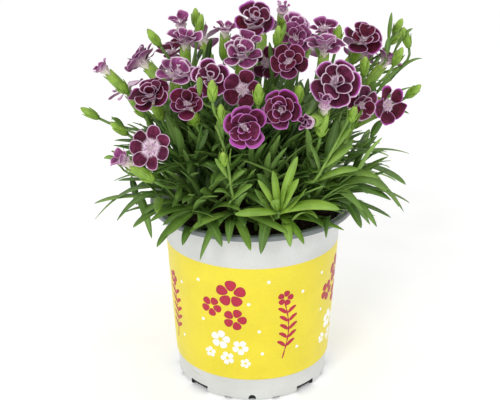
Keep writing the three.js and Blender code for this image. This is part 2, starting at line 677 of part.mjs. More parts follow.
// Draws a leaf again, shorter and more turned each time, until it is clear.
function clearLeaf(owner, random, plan, { at, along }, angle, share) {
  const [side, up] = acrossOf(along);
  const size = plan.long + (plan.short - plan.long) * share;
  for (let i = 0; i < LEAF_TRIES; i++) {
    const wild = i / LEAF_TRIES;
    const turn = rad(angle + spread(random, 12 + 90 * wild));
    const open = rad(plan.angle + spread(random, 10));
    const start = moved(
      vector(0, 0, 0), [along, Math.cos(open)], [side, Math.sin(open) * Math.cos(turn)],
      [up, Math.sin(open) * Math.sin(turn)]);
    const rise = THREE.MathUtils.radToDeg(Math.asin(start.z)) + spread(random, 20 * wild);
    const leaf = {
      foot: at,
      azimuth: Math.atan2(start.y, start.x),
      lift: Math.max(plan.least, rise),
      bend: plan.bend + spread(random, 12),
      length: size * (1 + spread(random, 0.14)) * (1 - 0.4 * wild),
      width: plan.width * (1 + spread(random, 0.12)),
      sway: spread(random, 0.1 + 0.15 * wild),
    };
    const samples = leafSamples(leaf);
    const nearFoot = (point) => point.distanceTo(at) < LEAF.crowded;
    const blade = samples.filter((point) => !nearFoot(point));
    const foot = samples.filter(nearFoot);
    if (isAbovePot(samples) && isFree(foot, owner, ownerOfLeaves(owner)) && isFree(blade, owner)) {
      take(foot, owner);
      take(blade, ownerOfLeaves(owner));
      return leaf;
    }
  }
  return null;
}

// ---------------------------------------------------------------- pot and soil solids
function potWallRadius(height) {
  const slope = (POT.wallTopRadius - POT.bandBottomRadius) / (POT.wallTop - POT.bandBottom);
  return POT.bandBottomRadius + slope * (height - POT.bandBottom);
}

function potProfile() {
  const lipUnder = POT.height - POT.lipHeight;
  const skirt = POT.bandBottomRadius - POT.bandProud;
  return [
    [0, 0],
    [POT.footRadius, 0],
    [POT.footRadius + 2.4, 1.8],
    [skirt - 0.6, 5.5],
    [skirt, POT.bandBottom - 0.5],
    [POT.bandBottomRadius, POT.bandBottom],
    [POT.wallTopRadius, POT.wallTop],
    [POT.wallTopRadius + 1.6, lipUnder - 1.5],
    [POT.lipRadius - 0.5, lipUnder],
    [POT.lipRadius, lipUnder + 0.7],
    [POT.lipRadius, POT.height - 1.1],
    [POT.lipRadius - 1.6, POT.height],
    [POT.wallTopRadius - POT.wall + 0.4, POT.wallTop + 1.5],
    [potWallRadius(POT.innerFoot) - POT.bandProud - POT.wall, POT.innerFoot],
    [POT.footRadius - 1, POT.floor],
    [0, POT.floor],
  ];
}

function boxAt(azimuth, inner, width, low, high) {
  const length = POT.lipRadius - inner;
  const box = new THREE.BoxGeometry(length, width, high - low);
  box.translate(inner + length / 2, 0, (low + high) / 2);
  box.rotateZ(rad(azimuth));
  return solidOf(box);
}

function rodAt(x, y, radius, low, high, sides) {
  const rod = new THREE.CylinderGeometry(radius, radius, high - low, sides);
  rod.rotateX(Math.PI / 2);
  rod.translate(x, y, (low + high) / 2);
  return solidOf(rod);
}

function potSolid() {
  const cuts = DRAIN.azimuths.flatMap((azimuth) => [
    boxAt(azimuth, DRAIN.inner, DRAIN.width, -1, DRAIN.depth),
    boxAt(azimuth, POT.footRadius - 0.2, DRAIN.width, -1, DRAIN.height),
    rodAt(DRAIN.holeAt * Math.cos(rad(azimuth)), DRAIN.holeAt * Math.sin(rad(azimuth)), DRAIN.hole, -2, 4, 8),
    ...[-1, 0, 1].map((i) => boxAt(azimuth + 45 + i * SLOT.spread, SLOT.inner, SLOT.width, -1, SLOT.height)),
  ]);
  return cuts.reduce((pot, cut) => pot.subtract(cut), solidOf(latheOf(potProfile(), POT.sides)));
}

// Low bumps in the soil, flat where it meets the wall.
function soilHeight(x, y, fade) {
  const bump = Math.sin(x * 0.31 + 1.2) * Math.cos(y * 0.27 - 0.6) + 0.5 * Math.sin((x + y) * 0.53);
  return SOIL.level + (SOIL.mound + bump * SOIL.relief) * fade;
}

function soilSolid() {
  const clear = POT.wall + GAP + 0.5;
  const top = potWallRadius(SOIL.level) - clear;
  const low = potWallRadius(POT.innerFoot) - POT.bandProud - clear;
  const profile = [
    [0, POT.floor + GAP], [POT.footRadius - 2, POT.floor + GAP], [low, POT.innerFoot + 1], [top, SOIL.level]];
  for (let i = SOIL.rings - 1; i >= 0; i--) profile.push([top * i / SOIL.rings, SOIL.level + 0.1]);
  const geometry = latheOf(profile, SOIL.sides);
  const place = geometry.getAttribute('position');
  for (let i = 0; i < place.count; i++) {
    if (place.getZ(i) < SOIL.level + 0.05) continue;
    const fade = 1 - Math.hypot(place.getX(i), place.getY(i)) / top;
    place.setZ(i, soilHeight(place.getX(i), place.getY(i), Math.min(1, fade * 2)));
  }
  const holes = SHOOTS.map(({ root }) => rodAt(root[0], root[1], SOIL.hole, SOIL.holeBottom, POT.height, 4));
  return holes.reduce((soil, hole) => soil.subtract(hole), solidOf(geometry));
}

// ---------------------------------------------------------------- materials
function material(colour, roughness) {
  return new THREE.MeshStandardMaterial({ color: colour, roughness, metalness: 0 });
}
const potMaterial = () => material(0xe9e7dc, 0.35);
const soilMaterial = () => material(0x2c211b, 0.95);
const greenMaterial = () => material(0x5d8f35, 0.55);
const petalMaterial = () => material(0x5b1436, 0.6);

// ---------------------------------------------------------------- the plant in its pot
const group = new THREE.Group();
const nameOf = (kind, number) => `${kind}_${String(number + 1).padStart(2, '0')}`;
group.add(meshOf('pot', potSolid(), potMaterial()));
group.add(meshOf('soil', soilSolid(), soilMaterial()));

const shootOfBloom = BLOOMS.map((_, number) => SHOOTS.findIndex(({ blooms }) => blooms.includes(number + 1)));
const frameOfBloom = BLOOMS.map((bloom, number) => {
  const slide = SLIDES.find((amount) => {
    const frame = bloomFrame(bloom, amount);
    return isFree(bloomSamples(frame, bloom, number), ownerOfBloom(number))
      && isFree(calyxSamples(frame), shootOfBloom[number]);
  });
  const frame = bloomFrame(bloom, slide ?? 0);
  take(bloomSamples(frame, bloom, number), ownerOfBloom(number));
  take(calyxSamples(frame), shootOfBloom[number]);
  return frame;
});
const budSamples = (bud) => rodSamples(bud.foot, bud.tip, BUD.radius);
const budsOf = SHOOTS.map(({ buds }, number) => buds.map((place) => {
  const slide = SLIDES.find((amount) => isFree(budSamples(budFrame(place, amount)), number));
  const bud = budFrame(place, slide ?? 0);
  take(budSamples(bud), number);
  return bud;
}));
BLOOMS.forEach((bloom, number) => {
  const solid = corollaSolid(frameOfBloom[number], petalsOf(bloom, number));
  group.add(meshOf(nameOf('bloom', number), solid, petalMaterial()));
});

const stemsOfShoots = SHOOTS.map(stemsOf);
SHOOTS.forEach((_, number) => {
  const random = randomFrom(15485863 * (number + 1));
  const stems = stemsOfShoots[number];
  const leaves = stems.flatMap((stem) => leavesOf(stem, number, random));
  const solid = wasm.Manifold.union([...stems.map(stemSolid), ...leaves.map(leafSolid)]);
  group.add(meshOf(nameOf('shoot', number), solid, greenMaterial()));
});

export default group;
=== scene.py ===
"""A dianthus in its round nursery pot: fine petals, leaves, stems, soil and a printed pot.

Sizes are in millimetres until a mesh is made, +Z is up and the front is -Y. An azimuth of 0
faces the front and a positive one turns to +X. The plant stands by the same rule as its solids.
"""
from math import asin, atan, atan2, ceil, cos, degrees, floor, hypot, pi, radians, sin, sqrt
from types import SimpleNamespace as Sizes

import bpy
import numpy as np
from mathutils import Euler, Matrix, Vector


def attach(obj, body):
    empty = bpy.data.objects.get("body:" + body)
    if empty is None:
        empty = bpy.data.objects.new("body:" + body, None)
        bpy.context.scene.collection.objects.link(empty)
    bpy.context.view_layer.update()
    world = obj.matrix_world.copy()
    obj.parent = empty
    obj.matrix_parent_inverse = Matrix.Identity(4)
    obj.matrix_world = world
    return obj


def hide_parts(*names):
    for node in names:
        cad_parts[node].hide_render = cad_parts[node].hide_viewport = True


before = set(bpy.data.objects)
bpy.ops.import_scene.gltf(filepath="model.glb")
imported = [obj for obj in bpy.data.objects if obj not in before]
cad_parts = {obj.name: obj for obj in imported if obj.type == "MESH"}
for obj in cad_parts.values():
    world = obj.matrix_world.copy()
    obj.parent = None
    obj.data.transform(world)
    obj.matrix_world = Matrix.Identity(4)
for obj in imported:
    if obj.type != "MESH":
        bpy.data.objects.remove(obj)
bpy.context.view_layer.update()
MM = 0.001

# ---------------- pot and soil
POT = Sizes(height=112, lip_radius=60, lip_height=3.2, wall_top=104.5, wall_top_radius=52,
            band_bottom=15.3, band_bottom_radius=46.6, band_top=88.7, band_proud=1, foot_radius=42.6,
            floor=1.8, wall=1.3, inner_foot=9, sides=144)
DRAIN = Sizes(azimuths=(45, 135, 225, 315), width=14, height=4.6, inner=34, depth=1, hole=3.2, hole_at=37.5,
              cut_to=42.4)
SLOT = Sizes(spread=18.5, width=4.4, height=1.6, inner=42, hole=2.2, hole_at=1.9, hole_from=42.4)
GAP = 0.3
# Rows of the pot's outline, outwards and upwards from its foot, skirt and lip.
FOOT_ROWS = ((0, 0), (1.2, 0.35), (2.0, 1.0), (2.5, 2.0))
SKIRT_ROWS = ((-0.6, 5.5), (-0.2, 11))
BAND_HEIGHTS = (34, 52, 70)
BAND_STEP = 0.12
ABOVE_BAND = 95
LIP_UNDER_ROWS = ((-2.5, -0.5), (-0.7, 0), (-0.15, 0.3), (0, 0.9))
LIP_TOP_ROWS = ((0, -1.2), (-0.35, -0.4), (-1.2, 0), (-3.4, -0.2), (-5.2, -1.4), (-6.6, -3.6))
INSIDE_HEIGHT = 97
INSIDE_SHARES = (0.97, 0.66, 0.33, 0)
CREASE = 32
SOIL = Sizes(level=101.5, mound=3.5, relief=1.1, hole_bottom=91)

# ---------------- plant sizes
STEM = Sizes(radius=1, twig=0.85, main_steps=4, twig_steps=2, bend=0.36)
CALYX = Sizes(length=15, belly=3.1, mouth=2.9)
CALYX_RIBS = 14
CLAW = 3.6
PETAL = dict(start=1.6, broad=0.6, ratio=0.97, twist=13, cup=0.08, open=22, bend=34, samples_from=3)
INNER = Sizes(reach=0.64, lift=28, start=1, base=1, broad=0.6, ratio=0.8, bend=44)
BUD = Sizes(length=12, radius=2.3)
LEAF = Sizes(wide=0.3, bend_at=0.7, short_wide=0.42, root=0.3, long=36, crowded=7)

# Blooms: place of the petals' centre, azimuth and elevation that the face looks to, width,
# number of outer and inner petals, and the lift of the petals above the flat.
BLOOMS = (
    (-83, -2, 189, -95, 46, 14, 5, 0, 34), (-60, -8, 194, -115, 42, 23, 5, 5, 14),
    (-46, 12, 195, -30, 74, 22, 5, 0, 12), (-40, -36, 195, 25, 60, 25, 5, 5, 12),
    (-37, -8, 206, 5, 84, 24, 5, 5, 12), (-41, 14, 211, -20, 75, 17, 5, 0, 40),
    (-53, -46, 186, -20, 54, 25, 5, 5, 8), (-33, -60, 186, -14, 48, 21, 5, 5, 8),
    (-22, -50, 197, 0, 42, 24, 5, 5, 10), (-15, 0, 211, 15, 78, 15, 5, 0, 22),
    (-6, -34, 205, 5, 62, 24, 5, 5, 12), (-4, -12, 206, -20, 82, 22, 5, 0, 12),
    (1, 0, 217, 5, 44, 24, 5, 5, 10), (-5, -50, 192, 0, 8, 21, 5, 0, 8),
    (-4, -72, 179, 2, 8, 25, 5, 5, 8), (17, 18, 218, 0, 60, 12, 5, 0, 62),
    (23, 2, 212, 30, 44, 20, 5, 5, 14), (23, -10, 208, 12, 36, 21, 5, 5, 10),
    (19, -44, 205, -4, 24, 21, 5, 5, 8), (8, -6, 194, 0, 30, 20, 5, 0, 12),
    (41, 22, 206, 12, 68, 19, 5, 0, 12), (38, -27, 207, 30, 84, 25, 5, 5, 12),
    (62, 10, 202, 25, 54, 25, 5, 5, 10), (76, 8, 191, 118, 46, 23, 5, 5, 12),
    (43, -46, 194, 5, 34, 28, 5, 5, 6), (57, -40, 181, 25, -4, 22, 5, 5, 8),
    (73, -30, 177, 30, 4, 24, 5, 0, 8), (15, -66, 186, -18, 12, 23, 5, 5, 8),
    (28, -78, 183, -22, 12, 14, 5, 0, 64), (37, -62, 186, 15, 72, 14, 5, 0, 60),
    (-52, -68, 166, -14, 18, 25, 7, 0, 10), (-66, -62, 156, -78, 40, 17, 5, 0, 48),
    (-64, 36, 184, -125, 38, 23, 5, 5, 10), (-30, 58, 190, -160, 40, 25, 5, 0, 10),
    (6, 52, 198, 175, 48, 24, 5, 5, 12), (34, 62, 186, 160, 30, 26, 5, 0, 8),
    (62, 44, 186, 128, 40, 24, 5, 5, 10), (2, 74, 176, -176, 18, 24, 5, 5, 8),
    (-50, 62, 170, -140, 16, 23, 5, 0, 8),
)
# Leafy shoots: the hole in the soil, the blooms they carry, buds by tip and direction, and
# the crowns of leafy side tufts.
SHOOTS = (
    ((-26, -26), (31, 32), (), ((-52, -42, 128), (-32, -48, 122))),
    ((-33, -4), (2, 1), ((-98, 0, 166, -95, 30),), ((-60, -12, 132),)),
    ((-24, -15), (7, 4), ((-78, -26, 166, -80, 40),), ((-40, -30, 128),)),
    ((-22, 4), (5, 3), ((-57, -14, 215, -70, 55),), ()),
    ((-13, -24), (9, 8), ((-16, -70, 190, -10, 75),), ((-9, -50, 122),)),
    ((-30, 16), (33, 6), ((-33, 26, 218, 0, 78),), ((-54, 30, 126),)),
    ((-10, -8), (11, 14), (), ()),
    ((-8, 9), (12, 10), (), ()),
    ((2, -30), (15, 28), ((-15, -66, 163, 0, 60),), ((14, -48, 120),)),
    ((6, -3), (13, 20), ((1, 14, 224, 0, 82),), ()),
    ((12, -16), (19, 18), ((3, -64, 199, 0, 70),), ((22, -38, 124),)),
    ((11, 12), (17, 16), ((15, 6, 207, -10, 75),), ()),
    ((20, -27), (25, 30, 29), ((24, -60, 197, 0, 65),), ((38, -44, 124),)),
    ((22, 2), (22, 21), ((48, 10, 211, 20, 75),), ()),
    ((30, -16), (26, 27), ((53, -50, 183, 15, 60),), ((58, -28, 130),)),
    ((33, 4), (23, 24), ((86, 24, 212, 40, 60), (94, -8, 182, 60, 45)), ((64, 8, 130),)),
    ((26, 22), (37, 36), ((88, 30, 205, 70, 55),), ((52, 44, 126),)),
    ((6, 30), (35, 38), ((20, 60, 208, 180, 70),), ((6, 66, 122),)),
    ((-16, 28), (34, 39), ((-44, 46, 204, -150, 65),), ((-36, 56, 124),)),
)
# Pairs of leaves between two shares of a stem, longest and shortest leaf, width, angle from
# the stem, bend and the least angle above the level.
FOLIAGE = dict(
    main=(6, 0.13, 0.7, 54, 32, 5.2, 34, 28, 12),
    twig=(1, 0.45, 0.5, 28, 22, 4, 24, 14, 0),
    tuft=(3, 0.4, 0.94, 44, 34, 5.4, 46, 32, 6),
)
BRANCH = Sizes(twig_from=0.44, twig_step=0.12, tuft_from=0.22, tuft_step=0.07, tuft_least=0.21,
               tuft_rise=0.7)
STEM_TRIES = 60
STEM_SWING = Sizes(grow=0.02, start=0.4, bend=0.2)
LEAF_TRIES = 30
SLOPE = np.array((0, 0.96, -0.28))
SLIDES = (0, 2, -2, 4, -4, 6, -6, 8, -8, 10, -10, 12, -12, 14, -14, 16, -16, 18, 20, 22)
CELL = 1.3
SPACING = 1.2
CLEAR = Sizes(rim=1.5, inside=4.8, soil=2, hang=16)
UP = np.array((0.0, 0.0, 1.0))

# ---------------- finer shapes than the solids have
FULL_TURN = 2 * pi
SHEET = Sizes(depth=-1, back_points=-0.5, back_faces=-0.75, closer_tip=1.35)
LONG_ROWS, SHORT_ROWS, BRACT_ROWS = 10, 6, 4
RUFFLE = Sizes(wave=0.5, waves=3, fine=0.2, fine_waves=5, thick=0.2, thin_edge=0.6, notch=0.07, sides=22,
               insets=(0.1, 0.3), beyond=1.1, edge_points=90, fan=0.3)
PETAL_CHANGE = dict(lift=(-8, 10), bend=(-14, 14), cup=(-0.06, 0.16), twist=(-20, 10), angle=(-7, 7),
                    ratio=(0.94, 1.16), length=(0.92, 1.04))
INNER_CHANGE = dict(length=(1.0, 1.4), ratio=(0.85, 1.1), angle=16, cup=(0.0, 0.36), twist=(3, 24),
                    lift=(-12, 14))
BLADE = Sizes(fold=0.24, margin=0.12, keel=0.4, keel_fall=0.7, least=0.13, wide=0.42, root=0.36,
              taper=(2.0, 3.6), blunt=0.66, twist=25, roll=26, sway=0.06, inside=0.86, high=125)
# A joint is where a pair of leaves stands on a stem.
JOINT = Sizes(main_rings=17, rings=11, half=0.02, at=0.005, none=9.0, swell=0.4, foot=1.08, thins=0.12,
              looks=201, near=0.1, apart=0.03)
BRACT = Sizes(count=4, flare=0.9, half=1.9, least=0.1, taper=2.4, swing=12, foot=0.15, under=0.02,
              over=0.35, on_calyx=6.5, on_bud=8.5,
              change=(0.85, 1.15), shorter=0.85, shade_from=0.2, shade_span=0.5, tone=0.6)
# Leaf tone: a random part, lighter the further out the tip reaches, darker where the tip hangs low; the
# darkening is partly age and partly painted shade.
AGE_AND_DEPTH_SHADE = Sizes(start=34, span=46, chance=0.6, share=0.36, low=120, less=0.4)
LEAF_FACE = np.array((0, -0.5, 0.85))
KIND = Sizes(leaf=0, under=1, stem=2, calyx=3)
PETAL_KIND = Sizes(face=0, back=1, claw=2, stamen=3)
# Rows of turned shapes: share of the length, or height over the petals' centre, and radius.
CUP = ((0, 1), (0.04, 1.7), (0.12, 2.3), (0.28, 2.8), (0.5, 3.1), (0.7, 3.12), (0.86, 3.0))
CUP_INSIDE = ((0.86, 2.3), (0.72, 2.1))
BUD_ROWS = ((0, 0.9), (0.05, 1.5), (0.18, 2.05), (0.45, 2.3), (0.68, 2.1), (0.86, 1.45), (0.96, 0.75),
            (1, 0.3))
FUNNEL = ((-CLAW - 2, 2.0), (-CLAW, 2.3), (-2.2, 2.1), (-0.9, 2.3), (-0.1, 3.0), (0.3, 3.5), (0.5, 2.2),
          (0.3, 0.7))
CUP_SIDES, FUNNEL_SIDES, STEM_SIDES, SIDE_STEM_SIDES = 15, 12, 8, 7
TEETH = Sizes(every=3, rise=1.5, notch=-0.9, flare=0.25)
COLOURED_BUDS = 0.35
STAMENS = Sizes(count=9, style=4.6, stamen=2.6, sides=6, from_middle=0.5, style_radii=(0.2, 0.17, 0.1),
                stamen_radii=(0.13, 0.42, 0.3),
                rings=7, uneven=0.3, change=(0.7, 1.2), lean=(0.25, 0.6), spread=0.5, curl=0.25)
# Small petals in the heart of a full bloom and of one that is still rolled up.
HEART = Sizes(count=(3, 6), length=(0.42, 0.58), lift=(58, 84), cup=0.3, bend=(20, 70), start=0.9, base=1.2,
              ratio=(0.8, 1.1), twist=25)
ROLL = Sizes(count=7, length=(1.0, 1.5), lift=(84, 100), cup=0.4, bend=(6, 30), start=(0.4, 1.6), base=-1.0,
             ratio=0.7)
CROWDED = (3, 6, 8, 10, 12, 14, 24, 27)
ROLLED = (15, 28, 29)

# ---------------- what stands between the shoots
# Leaves that show at the front and the sides: foot, tip, width, arch and how young.
OUTER_LEAVES = (
    ((15, -57, 126), (22, -58, 158), 4.6, 2, 1), ((14, -58, 126), (10, -60, 150), 4.4, 2, 1),
    ((13, -58, 127), (3, -62, 146), 3.2, 1, 1), ((16, -58, 127), (24, -62, 147), 4.6, 1, 1),
    ((16, -58, 126), (28, -66, 142), 3.8, -2, 1), ((13, -59, 126), (-9, -70, 129), 4.6, 1, 1),
    ((15, -59, 126), (46, -70, 134), 6.2, 3, 1), ((15, -56, 127), (17, -62, 140), 3.4, 1, 1),
    ((11, -54, 121), (1, -58, 139), 4.2, 2, 0.7), ((22, -52, 119), (35, -66, 126), 5.6, 4, 0.7),
    ((17, -56, 117), (20, -70, 111), 5.2, 5, 0.85),
    ((10, -46, 116), (4, -68, 106), 6.6, 7, 0.35), ((-7, -40, 117), (-29, -66, 102), 6.2, 10, 0.4),
    ((-32, -42, 108), (-37, -62, 108), 5.0, 5, 0.25), ((-21, -36, 115), (-48, -52, 114), 5.2, 6, 0.3),
    ((-11, -46, 115), (-13, -66, 111), 5.4, 6, 0.35), ((-24, -44, 120), (-6, -58, 127), 4.2, 4, 0.5),
    ((-13, -38, 127), (6, -60, 129), 4.6, 5, 0.3), ((-39, -30, 123), (-87, -38, 114), 5.6, 12, 0.25),
    ((-41, -34, 123), (-74, -50, 118), 5.0, 9, 0.3), ((-66, -22, 118), (-57, -42, 103), 5.0, 9, 0.3),
    ((-70, -6, 125), (-66, -14, 112), 4.2, 2, 0.1), ((-38, -40, 122), (-61, -52, 119), 4.4, 6, 0.3),
    ((35, -40, 136), (69, -48, 143), 5.2, 4, 0.55), ((42, -36, 126), (85, -30, 116), 5.4, 14, 0.5),
    ((37, -30, 124), (77, -34, 124), 7.4, 6, 0.2), ((40, -34, 123), (65, -44, 113), 5.2, 7, 0.3),
    ((44, -10, 133), (91, -2, 139), 4.2, 6, 0.3), ((42, -38, 113), (40, -56, 110), 3.8, 6, 0.25),
    ((36, -44, 140), (55, -44, 161), 5.2, 1, 0.35), ((61, -14, 127), (78, -8, 133), 4.4, 5, 0.3),
    ((44, -20, 126), (85, -8, 107), 4.6, 14, 0.35), ((32, -34, 130), (60, -50, 123), 5.4, 7, 0.3),
    ((47, -36, 119), (70, -38, 110), 4.8, 7, 0.3), ((-3, -40, 126), (0, -52, 148), 4.6, 1, 0.15),
    ((-12, -40, 130), (-3, -52, 149), 4.6, 2, 0.3), ((-29, -40, 146), (-12, -46, 133), 6.0, 6, 0.15),
    ((-33, -34, 148), (-34, -50, 145), 3.4, 1, 0.2), ((21, -30, 135), (37, -44, 142), 4.6, 3, 0.1),
    ((35, -40, 137), (29, -44, 155), 4.6, 3, 0.25), ((-29, -44, 128), (-37, -56, 130), 4.6, 3, 0.3),
    ((-20, -44, 127), (-28, -54, 137), 4.2, 2, 0.35), ((11, -44, 130), (2, -50, 144), 4.6, 2, 0.25),
    ((43, -36, 136), (55, -50, 144), 4.6, 3, 0.3), ((78, 20, 200), (80, 22, 216), 2.6, 1, 0.5),
    ((76, 10, 193), (77, 12, 204), 3.6, 1, 0.1), ((81, 14, 195), (90, 10, 210), 3.4, 2, 0.3),
    ((79, 6, 181), (96, 10, 193), 2.2, 3, 0.2), ((70, 0, 174), (83, 4, 189), 2.6, 1, 0.2),
    ((66, -10, 167), (88, -12, 182), 3, 2, 0.4), ((50, -44, 162), (51, -50, 181), 3.6, 1, 0.7),
    ((51, -44, 162), (55, -50, 183), 4.0, 1, 0.75), ((51, -44, 163), (58, -48, 180), 3.4, 1, 0.7),
    ((66, -20, 155), (72, -20, 165), 4.4, 1, 0.3), ((56, -30, 164), (74, -26, 172), 5, 2, 0.5),
    ((-26, 8, 188), (-24, 6, 205), 3.2, 1, 0.1), ((-31, 8, 192), (-28, 8, 198), 3, 1, 0.1),
    ((-71, -20, 161), (-78, -22, 166), 2.4, 2, 0.3), ((-67, -24, 156), (-77, -30, 170), 2.0, 1, 0.3),
    ((-63, -30, 159), (-68, -40, 166), 4.2, 1, 0.1), ((-69, -50, 147), (-79, -50, 154), 2.6, 3, 0.5),
    ((-68, -50, 149), (-75, -50, 158), 2.0, 2, 0.4), ((-56, -40, 137), (-67, -50, 146), 3, 2, 0.5),
    ((11, -10, 183), (10, -10, 207), 3.2, 1, 0.3), ((13, 10, 191), (15, 8, 207), 3.4, 1, 0.5),
    ((-14, -60, 156), (-16, -66, 165), 2.4, 1, 0.8), ((-12, -60, 156), (-11, -66, 165), 2.4, 1, 0.8),
    ((-27, -60, 191), (-26, -70, 204), 3.2, 1, 0.5), ((65, -12, 172), (68, -10, 185), 6, 1, 0.3),
    ((-38, -34, 151), (-47, -34, 174), 6, 1, 0.3),
    ((-29, -40, 154), (-24, -40, 167), 5, 1, 0.15), ((13, -23, 205), (17.8, -23, 220), 2.8, 0.5, 0.8),
    ((-5, -40, 165), (-7, -44, 186), 5, 1, 0.15),
    ((35, -34, 165), (41, -36, 175), 4, 1, 0.2), ((47, -38, 153), (49, -40, 172), 6, 1, 0.2),
    ((40, -38, 146), (45, -40, 172), 5, 1, 0.2), ((-12, -62, 146), (-20, -64, 158), 3.0, 1, 0.5),
    ((-12, -62, 144), (-4, -66, 152), 3.2, 1, 0.4), ((-11, -61, 136), (-20, -66, 141), 3.6, 2, 0.35),
    ((-11, -61, 134), (0, -66, 145), 3.8, 1, 0.4), ((41, -56, 158), (52, -56, 172), 3.6, 1, 0.7),
    ((38, -56, 151), (53, -56, 162), 4.0, 1, 0.65), ((36, -55, 148), (30, -58, 165), 3.6, 1, 0.3),
    ((35, -55, 143), (56, -58, 150), 4.4, 2, 0.6),
)
# A further bloom, turned away at the left, and the start of its stem.
FURTHER_BLOOMS = (((-72, 9, 174, -100, 58, 25, 5, 0, -14), (-57, 0, 151)),)
# Further buds: tip, foot and the start of the stem.
FURTHER_BUDS = (
    ((-20, -74, 204), (-20, -72, 192), (-11, -60, 174)),
    ((61, -20, 201), (61, -18, 190), (60, -14, 178)),
    ((82, -10, 203), (78, -8, 193), (71, -4, 174)), ((-29, 20, 215), (-31, 18, 204), (-30, 14, 190)),
    ((86, 14, 208), (89, 12, 198), (79, 8, 181)), ((18, 26, 208), (17, 24, 200), (16, 20, 189)),
    ((14, -22, 219), (13.2, -22, 207), (11, -24, 196)), ((3.2, -66.8, 200), (2.8, -65.4, 188), (3, -56, 172)),
)
# Pale young stems in front of the leaves: three places from the top down.
YOUNG_STEMS = (
    ((-19, -62, 176), (-13, -64, 164), (-11, -62, 140)), ((52, -53, 181), (44, -57, 164), (35, -56, 146)),
)
# The room that the leaves further in may take, and how they stand.
BUSH = Sizes(wide=80, deep=74, top=172, high_wide=62, high_from=150, over_rim=107, rim_within=4)
FILL = dict(side_stems=4, tries=12, main=8, twig=2, tuft=2, side=4, longest=58, shortest=36, width=4.5,
            opening=(12, 36), swing=15, wild_swing=80, wild_rise=15, change=(0.8, 1.15), shorter=0.4,
            least_lift=22, bend=(4, 30), sway=0.15, within_step=(0.2, 0.8))
FILL_SPAN = dict(main=(0.1, 0.72), twig=(0.2, 0.8), tuft=(0.35, 1.0), side=(0.35, 1.0))
SIDE_STEM = Sizes(start=(0.12, 0.5), turn=1.2, out=(5, 26), rise=(16, 50), outward=0.4, leave=8, steps=6,
                  width=1.0, radius=0.75)
# Thin stems that rise from the nearest stem under a place: rings, radii and how young they are.
ROOTED = Sizes(below=4, leave=6, arrive=4, shares=(0.15, 0.95), looks=25, within=60)
THIN = Sizes(side=(9, (0.85, 0.6), 0.2), leaf=(8, (0.8, 0.6), 0.25), bud=(12, (0.85, 0.75), 0.3),
             bloom=(12, (0.9, 1.0), 0.2))
YOUNG_STEM = Sizes(rings=8, radii=(1.0, 0.7), young=0.5)
YOUNG_SHOOT = 8
YOUTH = dict(main=0.05, twig=0.2, tuft=0.3, young_tuft=0.9, top=0.35, top_from=0.6, change=(-0.1, 0.2),
             stem=0.12, tuft_stem=0.3, usual=0.1, kept_clear=0.7)
BLOOM_SEED, SHOOT_SEED, SIDE_SEED, SOIL_SEED = 500, 900, 1300, 77
# The seeds of the rule that places petals, stems and leaves, as in the solids.
PETALS_SEED, STEMS_SEED, LEAVES_SEED = 7919, 104729, 15485863

# ---------------- looks of each bloom
# By bloom: how mauve its petals are, partly their own colour and partly painted sheen of velvet seen edge on,
# how white the line on their edges is, how far they are pale from the throat, and how broad the violet band
# is.
MAUVE_AND_SHEEN_TONES = {0: 0.75, 1: 0.35, 3: 0.95, 4: 0.9, 5: 0.95, 9: 0.7, 10: 0.6, 11: 0.7, 15: 0.9, 16: 0.85, 17: 0.5,
         20: 0.4, 21: 0.85, 23: 0.6, 24: 0.1, 28: 0.35, 29: 0.65, 31: 0.9, 32: 0.5, 35: 0.3, 37: 0.2,
         39: 0.95}
LINES = {1: 0.9, 3: 1.0, 4: 1.0, 6: 0.5, 8: 0.9, 10: 1.0, 11: 0.9, 12: 0.7, 14: 0.1, 16: 0.9, 21: 0.9,
         22: 0.5, 23: 0.6, 24: 0.9, 25: 0.6, 29: 0.6, 30: 0.5}
PALE_THROAT = {0: 0.4, 3: 0.5, 5: 0.4, 10: 0.24, 12: 0.42, 13: 0.2, 14: 0.28, 15: 0.9, 24: 0.36, 28: 0.3,
               29: 0.4, 30: 0.38, 31: 0.6, 39: 0.9}
BANDS = {4: 0.9, 6: 0.7, 8: 1.4, 11: 0.9, 12: 1.4, 14: 1.8, 16: 1.2, 18: 0.5, 20: 1.5, 21: 1.0, 22: 1.1,
         24: 1.5, 26: 1.2, 27: 1.2, 30: 0.35}
USUAL = Sizes(tone=(0, 0.15), line=0.2, pale=0.22, band=0.5)
LOOKS_SPREAD = dict(tone=(-0.06, 0.08), pale=(0.8, 1.2), outer_band=(0.7, 1.3), inner_band=(0.2, 0.6))


# ---------------- numbers
def random_from(seed):
    """Draws from 0 to 1, the same ones for the same seed."""
    state = seed & 0xFFFFFFFF

    def draw():
        nonlocal state
        state = (state * 1664525 + 1013904223) & 0xFFFFFFFF
        return state / 4294967296
    return draw


def spread(random, amount):
    return (random() * 2 - 1) * amount


def vec(x, y, z):
    return np.array((x, y, z), float)


def length_of(v):
    return sqrt(v[0] * v[0] + v[1] * v[1] + v[2] * v[2])


def unit(v):
    return v * (1 / (length_of(v) or 1))


def cross(a, b):
    return vec(a[1] * b[2] - a[2] * b[1], a[2] * b[0] - a[0] * b[2], a[0] * b[1] - a[1] * b[0])


def facing(azimuth, elevation):
    level = cos(radians(elevation))
    return vec(sin(radians(azimuth)) * level, -cos(radians(azimuth)) * level,
               sin(radians(elevation)))


def across_of(axis):
    """Two directions across an axis, the first level."""
    side = vec(-axis[1], axis[0], 0)
    if length_of(side) < 1e-6:
        side = vec(1, 0, 0)
    side = unit(side)
    return side, cross(axis, side)


def arc(length, lift, bend, s):
    """A point on an arc that leaves at an angle to the level and bends down evenly."""
    start, turn = radians(lift), radians(bend)
    slope = start - turn * s
    return (length / turn * (sin(start) - np.sin(slope)),
            length / turn * (np.cos(slope) - cos(start)), slope)


